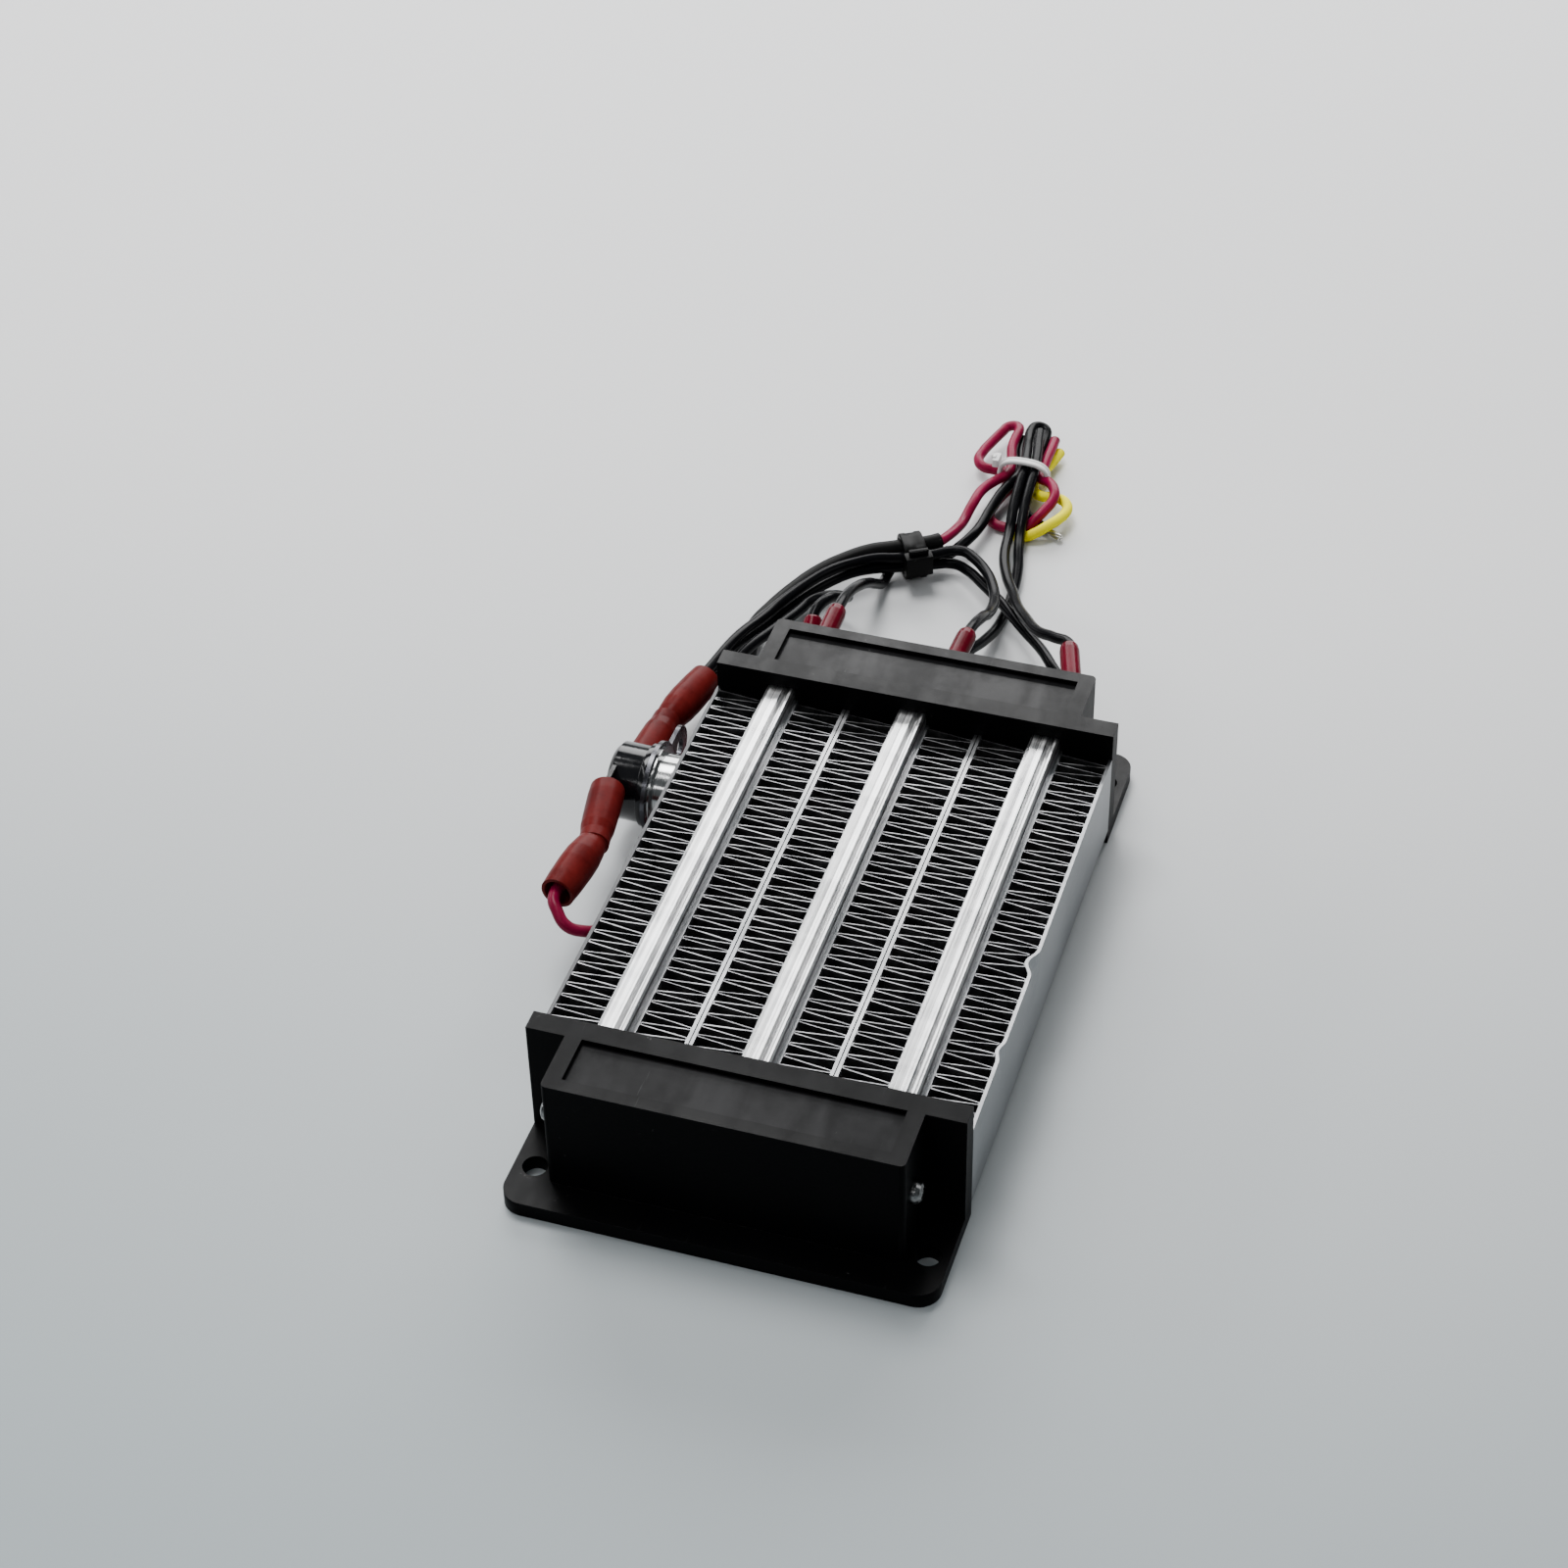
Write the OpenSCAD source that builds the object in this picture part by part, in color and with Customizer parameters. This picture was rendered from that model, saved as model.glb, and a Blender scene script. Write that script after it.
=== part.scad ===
// Insulated ceramic air heater: three flat heating bars between strips of folded fins,
// held by two moulded end caps, with a disc thermostat on its left side and a tied bunch of leads.
// X runs across, Y along the bars towards the leads, Z up; the origin is midway between the
// end caps, on the surface that their feet stand on.

/* [Fin pack] */
// Width of the whole pack of fins and bars
body_w = 76; // [64:1:100]
// Length of the fins between the two end caps
core_l = 96; // [70:1:160]
// Height of the fin strips' plates
core_h = 17.4; // [14:0.1:19]
// Height of the plates' lower edge above the surface
core_z = 3.1; // [2.6:0.1:4]
// Thickness of the plates that the fins are brazed to
plate_t = 0.6; // [0.4:0.1:1.2]
// Thickness of the folded fin sheet
fin_t = 0.18; // [0.12:0.02:0.4]
// Number of whole waves in one fin strip
fin_waves = 35; // [20:1:45]
// Width of the flat on each fold
fold_flat = 0.5; // [0.4:0.05:0.6]
// How far the fins' edges lie inside the plates' edges
fin_inset = 0.2; // [0:0.05:0.5]
// Gap between two neighbouring bar stacks
stack_gap = 0.2; // [0.1:0.05:0.5]
// Depth of the larger dent in the right side plate
dent_depth = 1.3; // [0.4:0.1:2]

/* [Heating bars] */
// Width of the extruded tube
bar_w = 5.4; // [4.8:0.1:6.5]
// Height of the extruded tube
bar_h = 21.6; // [20:0.1:22.4]
// Height of the tube's lower edge above the surface
bar_z = 1.4; // [1.2:0.1:1.8]
// Side wall of the tube
tube_wall = 1; // [0.8:0.05:1.2]
// Wall at the tube's upper and lower edges, below the groove
edge_wall = 2; // [1.8:0.1:2.6]
// Width of the groove in each edge of the tube
groove_w = 0.8; // [0.5:0.1:1]
// Depth of the groove in each edge of the tube
groove_d = 0.9; // [0.5:0.1:1.2]
// Thickness of the insulating film
film_t = 0.2; // [0.1:0.05:0.25]
// Thickness of an electrode strip
electrode_t = 0.4; // [0.2:0.05:0.5]
// Height of a ceramic stone
stone_h = 15; // [10:0.5:15]
// Number of ceramic stones in a bar
stone_count = 4; // [3:1:5]
// Gap between two stones
stone_gap = 0.4; // [0.2:0.1:1]

/* [End caps] */
// Height of an end cap
cap_h = 26; // [25.5:0.5:32]
// Thickness of the flange against the fins
flange_t = 4; // [3:0.5:6]
// Depth of the box outside the flange
box_d = 12; // [11:0.5:18]
// Distance of the box's sides inside the cap's sides
box_inset = 7; // [7:0.1:7.5]
// Thickness of the box's outer wall
cap_wall = 2.4; // [1.6:0.1:3]
// Width of the rim round the panel on top of the box
rim_w = 3; // [2:0.25:5]
// Depth of the panel below the rim
panel_d = 1; // [0.4:0.1:1.4]
// Thickness of the foot
foot_t = 3; // [2:0.5:5]
// How far the foot reaches past the box
foot_out = 6; // [4:0.5:12]
// Radius of the foot's corners
foot_r = 4; // [1:0.5:5]
// Diameter of the mounting holes
hole_d = 4.4; // [3:0.1:4.6]
// Distance of the mounting holes from the cap's sides
hole_side = 3.7; // [3.2:0.1:4]
// Distance of the mounting holes from the flange's inner face
hole_out = 13.3; // [9:0.1:18]
// Clearance round a tube in its pocket
pocket_gap = 0.15; // [0.05:0.05:0.25]
// Height of the side screws
screw_z = 15.5; // [8:0.5:19]
// Distance of the side screws from the flange's outer face
screw_out = 7.2; // [4:0.2:8]
// Diameter of a side screw's shank
screw_d = 2.2; // [1.6:0.1:3]
// Diameter of a side screw's head
screw_head_d = 4.4; // [3.4:0.1:5.4]

/* [Thermostat] */
// Place of the thermostat along the bars
stat_y = 26.7; // [16:0.1:27]
// Height of the thermostat's middle
stat_z = 11.8; // [11:0.1:12]
// Diameter of the moulded body
stat_d = 14.5; // [13.6:0.1:15.6]
// Length of the moulded body
stat_l = 7.6; // [7:0.1:9]
// Diameter of the metal cup
cup_d = 13.2; // [11:0.1:13.4]
// Length of the metal cup
cup_l = 4.6; // [3:0.1:6]
// Thickness of the bracket ring
bracket_t = 0.8; // [0.5:0.1:1.2]
// Length of the bracket's ear from the thermostat's middle
ear_l = 16; // [14:0.5:20]
// Width of a thermostat tab
tab_w = 4.8; // [4:0.1:4.8]
// Thickness of a thermostat tab
tab_t = 0.8; // [0.5:0.1:0.8]
// Length of the silicone sleeves on the thermostat
stat_sleeve_l = 29; // [28:1:31]
// Widest diameter of those sleeves
stat_sleeve_d = 6.9; // [6.7:0.1:7.2]

/* [Terminals] */
// Height of the upper electrode tabs
upper_tab_z = 17; // [15:0.1:17.2]
// Height of the lower electrode tabs
lower_tab_z = 7; // [6.8:0.1:9]
// Width of an electrode tab
terminal_w = 2.4; // [1.6:0.1:2.4]
// Diameter of a terminal sleeve
terminal_sleeve_d = 3.9; // [3.5:0.1:4.2]
// Length of a terminal sleeve
terminal_sleeve_l = 15.5; // [13:0.5:19]
// Diameter of a lead
lead_d = 2.2; // [1.6:0.1:2.2]
// Diameter of the cover on the supply lead
cover_d = 3.7; // [3:0.1:3.8]

/* [Hank of leads] */
// Length of the folded hank
hank_l = 37; // [35:1:37]
// Width of the folded hank
hank_w = 22; // [18:1:24]
// Height of the folded hank
hank_h = 7; // [6:0.5:9]
// Width of the black tie's strap
black_tie_w = 4.6; // [3:0.1:5]
// Width of the white tie's strap
white_tie_w = 2.8; // [2:0.1:3.4]

/* [Hidden] */
$fn = 48;
eps = 0.01;
seat_gap = 0.1;

pitch = (body_w + stack_gap) / 3;
fin_w = (pitch - stack_gap - bar_w - 4 * plate_t) / 2;
fin_h = core_h - 2 * fin_inset;
plate_l = core_l - 2 * seat_gap;
flange_y = core_l / 2;
box_y = flange_y + flange_t;
cap_y = box_y + box_d;
bar_l = 2 * (cap_y - cap_wall - seat_gap);
cavity_w = bar_w - 2 * tube_wall;
cavity_h = bar_h - 2 * edge_wall;
cavity_z = bar_z + edge_wall;
stone_t = cavity_w - 2 * film_t - 2 * electrode_t;
stack_l = core_l + 2 * flange_t;
stone_l = (stack_l - (stone_count - 1) * stone_gap) / stone_count;
stone_z = cavity_z + (cavity_h - stone_h) / 2;
electrode_x = (stone_t + electrode_t) / 2;
hole_x = body_w / 2 - hole_side;
hole_y = flange_y + hole_out;
box_x = body_w / 2 - box_inset;
screw_y = box_y + screw_out;

// Each dent: its place along the plate, its share of the depth and its half width
dents = [[-7.6, 1, 3.4], [-29.5, 0.5, 2.6]];
// Share of the plate's height, from its top, that the dents reach down to
dent_reach = 0.42;

// Terminals, bar by bar: how far each sleeve leans to the left and tips up, in degrees,
// and how far from the tab's bend it starts
upper_lean = [1, -2, 16.5];
lower_lean = [10, 0, 10];
upper_tip = [0, 0, 0];
lower_tip = [20, 0, 0];
upper_start = [0.4, 0.4, 2.6];
lower_start = [2.4, 0.4, 0.4];
tab_bend = 0.6;
tab_l = 6.4;
sleeve_start = 0.4;
terminal_bore = lead_d + 0.5;
pivot_y = cap_y + tab_bend;

stat_x = -body_w / 2;
stat_tab_x = stat_x - cup_l - bracket_t - stat_l + 1.2;
stat_tab_rise = [4, -3.5];
stat_tab_l = 9;
stat_pivot = stat_d / 2 + 0.15;
crimp_d = 3.2;
neck_d = stat_sleeve_d - 1.2;
// How far the near and the far sleeve lean towards the fins, before and after the kink at the neck
stat_lean = [10, 3];
stat_kink_lean = [-6, 12];
stat_kink = 14.5;

// Ties round the leads: centre, turn, and the opening that the leads pass through
black_tie_at = [-19.8, 117.4];
black_tie_turn = 30;
black_tie_hole = [6.8, 6.6];
black_tie_z = 4.35;
hank_at = [-4.6, 151];
near_round = 5;
far_round = 8;
waist_w = 12;
waist_l = 4.6;
tie_t = 1;
hank_z = 0.2;

// Points that the leads run through, in millimetres, from the sleeve at their start
left_feed_route = [[-43, 69.5, 7.3], [-41.3, 76, 7.2], [-39.2, 83.5, 6.6], [-37, 90, 5.6],
    [-34.4, 96.4, 4.8], [-32, 101.6, 4.6], [-30, 104.8, 4.8], [-27.9, 105.4, 5.6],
    [-26.9, 102.6, 7.4], [-27.1, 98, 9.6], [-28, 92.6, 12], [-29.2, 87.4, 13.8]];
middle_feed_route = [[-43.8, 76, 9.2], [-41.2, 87.5, 7], [-39.2, 94, 6.6], [-36.7, 99.9, 6.4],
    [-33.6, 105.1, 6.4], [-29.8, 109.1, 6.3], [-25.9, 112, 6.2], [-22.3, 113.7, 5.8],
    [-15.3, 117.7, 5.3], [-12.2, 119.6, 5.5], [-9.6, 119.8, 5.7], [-7.1, 118.1, 5.9],
    [-3.2, 113.8, 6.2], [-0.3, 108.2, 7], [1.3, 102.9, 8], [2.1, 95.2, 10.8], [2.3, 90, 14]];
right_feed_route = [[-45, 76, 6], [-41.2, 87.5, 4.2], [-39.2, 94, 3.8], [-36.7, 99.9, 3.6],
    [-33.6, 105.1, 3.6], [-30, 108.9, 3.9], [-26.3, 111.5, 3.8], [-22.3, 113.7, 3.4],
    [-15.3, 117.7, 2.8], [-11.6, 118.9, 2.8], [-7.8, 116.9, 3.2], [-3.7, 113, 3.6],
    [1.1, 108.1, 4], [9, 98.6, 5], [13.8, 92.2, 6.6], [17, 87.2, 7.4]];
left_return_route = [[-24.6, 88, 14.6], [-24.4, 95, 11], [-24.2, 101.6, 6.8], [-24.1, 106.6, 3.2],
    [-24, 110.2, 1.2], [-23.9, 113.9, 1.15], [-23.1, 116.4, 2.3], [-16.7, 120.2, 2.3],
    [-13.8, 121.6, 2.4], [-11.9, 124, 3.2], [-10.2, 127.8, 3.6], [-9.4, 132.1, 3.4]];
middle_return_route = [[-0.2, 88, 6], [1.2, 96, 3.2], [2.2, 104, 1.4], [2.2, 114, 1.4],
    [1.6, 122, 2], [0, 132.1, 3]];
right_return_route = [[17.6, 86, 15.4], [13.4, 90, 12.9], [9.4, 96.4, 10.4], [6.3, 102.4, 8],
    [3.6, 109, 6], [0.4, 115.8, 4.4], [-2.4, 123, 3.4], [-4.2, 132.1, 3]];
supply_route = [[-47.6, -13.4, 15.2], [-45.4, -15, 13.6], [-42.8, -13.6, 11.6], [-41.2, -9.4, 8.8],
    [-40.4, -3, 5], [-40.2, 5, 2], [-40.2, 14, 1.4], [-40.2, 42, 1.4], [-40.2, 62, 1.4],
    [-41.4, 72, 2], [-43.4, 81, 2.1], [-44.2, 88.2, 2.2], [-42.4, 95, 2.6], [-39.7, 101.4, 3.2],
    [-36.3, 107, 4], [-32.1, 111.4, 4.8], [-28, 114.5, 5.4], [-23.9, 116.7, 5.5],
    [-16.9, 120.7, 5.5], [-15.4, 122.1, 5.4], [-14.3, 125, 5], [-13.5, 128.8, 4.3],
    [-13.2, 132.3, 3.6]];
cover_first = 11;
cover_last = 21;

// Places across the pack
function bar_x(i) = (i - 1) * pitch;
function strip_side(n) = n % 2 == 0 ? -1 : 1;
function strip_x(n) = bar_x(floor(n / 2)) + strip_side(n) * (bar_w / 2 + plate_t + fin_w / 2);

// Inward push of the right side plate at place y along it, for a half width widened by extra
function bump(y, dent, extra) = abs(y - dent[0]) < dent[2] + extra
    ? dent_depth * dent[1] * (1 + cos(180 * (y - dent[0]) / (dent[2] + extra))) / 2 : 0;
function push(y, extra = 0) = bump(y, dents[0], extra) + bump(y, dents[1], extra);

// Direction of a sleeve that leans by a to the left and tips up by b, and points along it
function lean_dir(a, b) = [-sin(a) * cos(b), cos(a) * cos(b), sin(b)];
function upper_pivot(i) = [bar_x(i) + electrode_x, pivot_y, upper_tab_z];
function lower_pivot(i) = [bar_x(i) - electrode_x, pivot_y, lower_tab_z];
function upper_axis(i, s) = upper_pivot(i) + (s + upper_start[i])
    * lean_dir(upper_lean[i], upper_tip[i]);
function lower_axis(i, s) = lower_pivot(i) + (s + lower_start[i])
    * lean_dir(lower_lean[i], lower_tip[i]);
lead_in = tab_l + 0.3;
lead_out = terminal_sleeve_l + 1;

// Points along the thermostat's near sleeve (k = 0) and far sleeve (k = 1), offset sideways and up
function stat_dir(k, lean) = [sin(lean[k]), (2 * k - 1) * cos(lean[k]), 0];
function stat_side(k) = [stat_dir(k, stat_kink_lean)[1], -stat_dir(k, stat_kink_lean)[0], 0];
function stat_root(k) = [stat_tab_x, stat_y + (2 * k - 1) * stat_pivot, stat_z + stat_tab_rise[k]];
function stat_joint(k) = stat_root(k) + stat_kink * stat_dir(k, stat_lean);
function past_kink(k, s, side = 0, up = 0) = stat_joint(k)
    + (s - stat_kink) * stat_dir(k, stat_kink_lean) + side * stat_side(k) + [0, 0, up];
stat_lead_in = stat_kink + 2.6;
stat_lead_out = stat_sleeve_l + 1.8;

// Outline of a fin strip: one run of fold points up its right side and one back down its left
half_pitch = plate_l / (2 * fin_waves);
fold_miter = fin_t / 2 * tan(atan2(fin_w - fin_t, half_pitch - fold_flat) / 2);
function fold_points(k, right) =
    let (s = k % 2 == 0 ? 1 : -1,
        outer = (s == 1) == right,
        y = -plate_l / 2 + half_pitch * (k + 0.5),
        x = s * (outer ? fin_w / 2 : fin_w / 2 - fin_t),
        h = fold_flat / 2 + (outer ? fold_miter : -fold_miter))
    [[x, y - h], [x, y + h]];
function fin_outline() =
    let (last = 2 * fin_waves - 1)
    concat([for (k = [0:last]) each fold_points(k, true)],
        [for (k = [last:-1:0], p = [1, 0]) fold_points(k, false)[p]]);
// Fin points pushed in and along where the side plate is dented, most at the plate
function crumple(p) =
    let (share = (p[0] + fin_w / 2) / fin_w, d = push(p[1], 0.8))
    [p[0] - share * (d + (d > 0 ? 0.12 : 0)), p[1] + 0.6 * share * d];

// Section of the extruded tube, half of it, from its middle line up round its upper edge
function edge_profile(w, top) =
    [[w, top - 0.9], [w - 0.15, top - 0.35], [w - 0.5, top], [w - 0.9, top],
        [w - 1.1, top - 0.2], [w - 1.2, top - groove_d], [w - 1.2 - groove_w / 2, top - groove_d],
        [w - 1.2 - groove_w, top - 0.15], [w - 1.5 - groove_w, top],
        [-w * 0.25, top - 0.1], [-w + 0.7, top], [-w + 0.15, top - 0.25], [-w, top - 0.7]];

// A tube of eight sides through a lead's points
function unit(v) = v / norm(v);
function tangent(p, i) = unit((i > 0 ? unit(p[i] - p[i - 1]) : [0, 0, 0])
    + (i < len(p) - 1 ? unit(p[i + 1] - p[i]) : [0, 0, 0]));
sides = 8;
function rings(points, first, last, d) = [for (i = [first:last], a = [0:sides - 1])
    let (t = tangent(points, i), n = unit(cross(t, [0, 0, 1])), b = cross(n, t))
    points[i] + d / 2 * (cos(a * 360 / sides) * n + sin(a * 360 / sides) * b)];
function walls(count, start, turn) = [for (i = [0:count - 2], a = [0:sides - 1])
    let (c = (a + 1) % sides, p = start + i * sides, q = p + sides)
    turn ? [p + a, q + a, q + c, p + c] : [p + a, p + c, q + c, q + a]];
module lead(points, d) {
    last = len(points) - 1;
    polyhedron(rings(points, 0, last, d), concat(walls(last + 1, 0, false),
        [[for (a = [sides - 1:-1:0]) a]], [[for (a = [0:sides - 1]) last * sides + a]]),
        convexity = 10);
}

// A hollow cover round a lead, from its first to its last given point
module cover(points, first, last, outer, inner) {
    count = last - first + 1;
    bore = count * sides;
    end = (count - 1) * sides;
    rims = [for (a = [0:sides - 1]) let (c = (a + 1) % sides) each
        [[a, bore + a, bore + c, c], [end + a, end + c, bore + end + c, bore + end + a]]];
    polyhedron(concat(rings(points, first, last, outer), rings(points, first, last, inner)),
        concat(walls(count, 0, false), walls(count, bore, true), rims), convexity = 10);
}

// Flat plate with rounded corners at its outer edge, which faces +Y
module foot_plate() {
    reach = flange_t + box_d + foot_out;
    linear_extrude(foot_t) {
        translate([-body_w / 2, flange_y]) square([body_w, reach - foot_r]);
        translate([foot_r - body_w / 2, flange_y]) square([body_w - 2 * foot_r, reach]);
        for (s = [-1, 1]) translate([s * (body_w / 2 - foot_r), flange_y + reach - foot_r])
            circle(foot_r);
    }
}

module cap_box() {
    edge_r = 1;
    linear_extrude(cap_h) {
        translate([-box_x, box_y - eps]) square([2 * box_x, box_d - edge_r + eps]);
        translate([edge_r - box_x, box_y - eps]) square([2 * box_x - 2 * edge_r, box_d + eps]);
        for (s = [-1, 1]) translate([s * (box_x - edge_r), cap_y - edge_r]) circle(edge_r);
    }
}

module bar_pocket(i) {
    translate([bar_x(i) - bar_w / 2 - pocket_gap, flange_y - 1, bar_z - pocket_gap])
        cube([bar_w + 2 * pocket_gap, flange_t + box_d - cap_wall + 1, bar_h + 2 * pocket_gap]);
}

// Cores that keep the moulding's walls even between two bars
module core_pocket(side) {
    rib = 2.4;
    w = pitch - bar_w - 2 * pocket_gap - 2 * rib;
    for (k = [-1, 1])
        translate([side * pitch / 2 + k * (w + rib) / 4 - (w - rib) / 4, flange_y - 1, foot_t + 1])
            cube([(w - rib) / 2, flange_t + box_d - cap_wall + 1, core_z + core_h - foot_t - 2.5]);
}

module screw_hole(side) {
    translate([side * (pitch + bar_w / 2 - 1), screw_y, screw_z]) rotate([0, side * 90, 0])
        cylinder(h = box_x - pitch - bar_w / 2 + 2, d = screw_d + 0.1);
}

// The moulding with its flange on the fins and its box and foot towards +Y
module end_cap() {
    difference() {
        union() {
            translate([-body_w / 2, flange_y, 0]) cube([body_w, flange_t, cap_h]);
            cap_box();
            foot_plate();
        }
        translate([rim_w - box_x, box_y, cap_h - panel_d])
            cube([2 * (box_x - rim_w), box_d - rim_w + 0.5, panel_d + 1]);
        for (i = [0:2]) bar_pocket(i);
        for (s = [-1, 1]) core_pocket(s);
        for (s = [-1, 1]) screw_hole(s);
        for (s = [-1, 1]) translate([s * hole_x, hole_y, -1]) cylinder(h = foot_t + 2, d = hole_d);
    }
}

module near_end_cap() {
    color("black") mirror([0, 1, 0]) end_cap();
}

// The far cap also has a slot for each electrode tab
module far_end_cap() {
    slot = [electrode_t + 0.4, cap_wall + 2, terminal_w + 0.4];
    color("black") difference() {
        end_cap();
        for (i = [0:2], p = [upper_pivot(i), lower_pivot(i)])
            translate([p[0], cap_y, p[2]]) cube([slot[0], 2 * slot[1], slot[2]], center = true);
    }
}

// Pan head with a cross recess, on its shank
module cap_side_screw() {
    head_h = 2;
    shank_l = box_x - pitch - bar_w / 2 - 0.05;
    recess = [0.7, 2.6];
    difference() {
        union() {
            rotate_extrude() polygon([[0, 0], [screw_head_d / 2, 0], [screw_head_d / 2, 0.8],
                [screw_head_d / 2 - 0.35, 1.5], [screw_head_d / 2 - 1, 1.9], [0, head_h]]);
            translate([0, 0, -shank_l]) cylinder(h = shank_l, d = screw_d);
        }
        for (a = [0, 90]) rotate([0, 0, a]) translate([-recess[0] / 2, -recess[1] / 2, 1])
            cube([recess[0], recess[1], head_h]);
    }
}

module cap_side_screws() {
    color("silver") for (s = [-1, 1], k = [-1, 1])
        translate([s * box_x, k * screw_y, screw_z]) rotate([0, s * 90, 0]) cap_side_screw();
}

// Extruded tube with a grooved edge at top and bottom
module bar_tube(i) {
    middle = bar_z + bar_h / 2;
    edge = edge_profile(bar_w / 2, bar_h / 2);
    color("gainsboro") translate([bar_x(i), bar_l / 2, middle]) rotate([90, 0, 0])
        linear_extrude(bar_l) difference() {
            polygon(concat(edge, [for (p = edge) -p]));
            square([cavity_w, cavity_h], center = true);
        }
}

module bar_stones(i) {
    color("darkgray") for (k = [0:stone_count - 1])
        translate([bar_x(i) - stone_t / 2, k * (stone_l + stone_gap) - stack_l / 2, stone_z])
            cube([stone_t, stone_l, stone_h]);
}

// Film sleeve between the electrodes and the tube
module bar_film(i) {
    film_l = bar_l - 4;
    film_w = stone_t + 2 * electrode_t;
    color("darkorange") translate([bar_x(i), film_l / 2, cavity_z + cavity_h / 2])
        rotate([90, 0, 0]) linear_extrude(film_l) difference() {
            square([cavity_w, cavity_h], center = true);
            square([film_w, cavity_h - 2 * film_t], center = true);
        }
}

// Strip along the stones with a tab that leaves the far cap and bends with its sleeve
module electrode(pivot, lean, tip) {
    tab_root = stack_l / 2 - eps;
    color("lightgray") {
        translate([pivot[0] - electrode_t / 2, -stack_l / 2, stone_z])
            cube([electrode_t, stack_l, stone_h]);
        translate([pivot[0] - electrode_t / 2, tab_root, pivot[2] - terminal_w / 2])
            cube([electrode_t, pivot_y - tab_root, terminal_w]);
        translate(pivot) rotate([tip, 0, lean])
            translate([-electrode_t / 2, -0.05, -terminal_w / 2])
                cube([electrode_t, tab_l + 0.05, terminal_w]);
    }
}

module upper_electrode(i) {
    electrode(upper_pivot(i), upper_lean[i], upper_tip[i]);
}

module lower_electrode(i) {
    electrode(lower_pivot(i), lower_lean[i], lower_tip[i]);
}

// Folded fins; the last strip is crumpled beside the dents
module fin_strip(n) {
    outline = fin_outline();
    color("silver") translate([strip_x(n), 0, core_z + fin_inset]) linear_extrude(fin_h)
        polygon(n == 5 ? [for (p = outline) crumple(p)] : outline);
}

module fin_plate(n, side) {
    color("lightgray")
        translate([strip_x(n) + side * (fin_w + plate_t) / 2 - plate_t / 2, -plate_l / 2, core_z])
            cube([plate_t, plate_l, core_h]);
}

// The right side plate, pushed in along its upper edge
module dented_plate() {
    stations = concat([-plate_l / 2], [for (d = [dents[1], dents[0]], k = [-5:5])
        d[0] + d[2] * k / 5], [plate_l / 2]);
    levels = [0, 1 - dent_reach, 1 - dent_reach * 0.6, 1 - dent_reach * 0.3, 1];
    rows = len(stations);
    high = len(levels);
    inner = body_w / 2 - plate_t;
    function slope(v) = pow(max(0, (v - 1 + dent_reach) / dent_reach), 2);
    function grid(x) = [for (v = levels, y = stations)
        [x - push(y) * slope(v), y, core_z + v * core_h]];
    function cell(a, b, c, d, flip) = flip ? [[a, b, c], [a, c, d]] : [[a, c, b], [a, d, c]];
    function at(j, i, k) = k * rows * high + j * rows + i;
    faces = concat(
        [for (k = [0, 1], j = [0:high - 2], i = [0:rows - 2])
            each cell(at(j, i, k), at(j, i + 1, k), at(j + 1, i + 1, k), at(j + 1, i, k), k == 0)],
        [for (j = [0, high - 1], i = [0:rows - 2])
            each cell(at(j, i, 0), at(j, i, 1), at(j, i + 1, 1), at(j, i + 1, 0), j == 0)],
        [for (i = [0, rows - 1], j = [0:high - 2])
            each cell(at(j, i, 0), at(j + 1, i, 0), at(j + 1, i, 1), at(j, i, 1), i == 0)]);
    color("lightgray") polyhedron(concat(grid(inner), grid(inner + plate_t)), faces, convexity = 6);
}

// Local Z of what follows points out of the left side plate at the thermostat's middle
module on_left_plate() {
    translate([stat_x, stat_y, stat_z]) rotate([0, -90, 0]) children();
}

// Drawn cup, closed against the plate, with a flange under the bracket
module thermostat_cup() {
    sheet = 0.5;
    r = cup_d / 2;
    color("gainsboro") on_left_plate() rotate_extrude() polygon([[0, 0], [r - 0.6, 0], [r, 0.6],
        [r, cup_l - sheet], [stat_d / 2 + 0.6, cup_l - sheet], [stat_d / 2 + 0.6, cup_l],
        [r - sheet, cup_l], [r - sheet, 0.8], [r - 0.8, sheet], [0, sheet]]);
}

// Ring under the body with one ear towards the far cap
module thermostat_bracket() {
    ring_r = stat_d / 2 + 1.4;
    ear_r = 4.2;
    color("silver") on_left_plate() translate([0, 0, cup_l]) difference() {
        linear_extrude(bracket_t) {
            circle(ring_r);
            translate([-ear_r, 0]) square([2 * ear_r, ear_l - ear_r]);
            translate([0, ear_l - ear_r]) circle(ear_r);
        }
        translate([0, 0, -1]) cylinder(h = bracket_t + 2, d = cup_d - 1);
        translate([0, ear_l - ear_r, -1]) cylinder(h = bracket_t + 2, d = 3.4);
    }
}

// Moulded body with a stepped skirt, a domed back and a slot for each tab
module thermostat_body() {
    r = stat_d / 2;
    base = cup_l + bracket_t;
    tab_at = stat_x - stat_tab_x;
    color("darkslategray") on_left_plate() difference() {
        translate([0, 0, base]) rotate_extrude() polygon([[0, -1.6], [cup_d / 2 - 0.9, -1.6],
            [cup_d / 2 - 0.9, 0], [r + 0.6, 0], [r + 0.6, 1.2], [r, 1.5], [r, stat_l - 0.8],
            [r - 0.8, stat_l], [r - 3.4, stat_l], [r - 3.8, stat_l - 0.5], [0, stat_l - 0.5]]);
        for (k = [0, 1]) translate([stat_tab_rise[k], k == 0 ? -r : r, tab_at])
            cube([tab_w + 0.1, 2 * (r - 2.4), tab_t + 0.1], center = true);
    }
}

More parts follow.
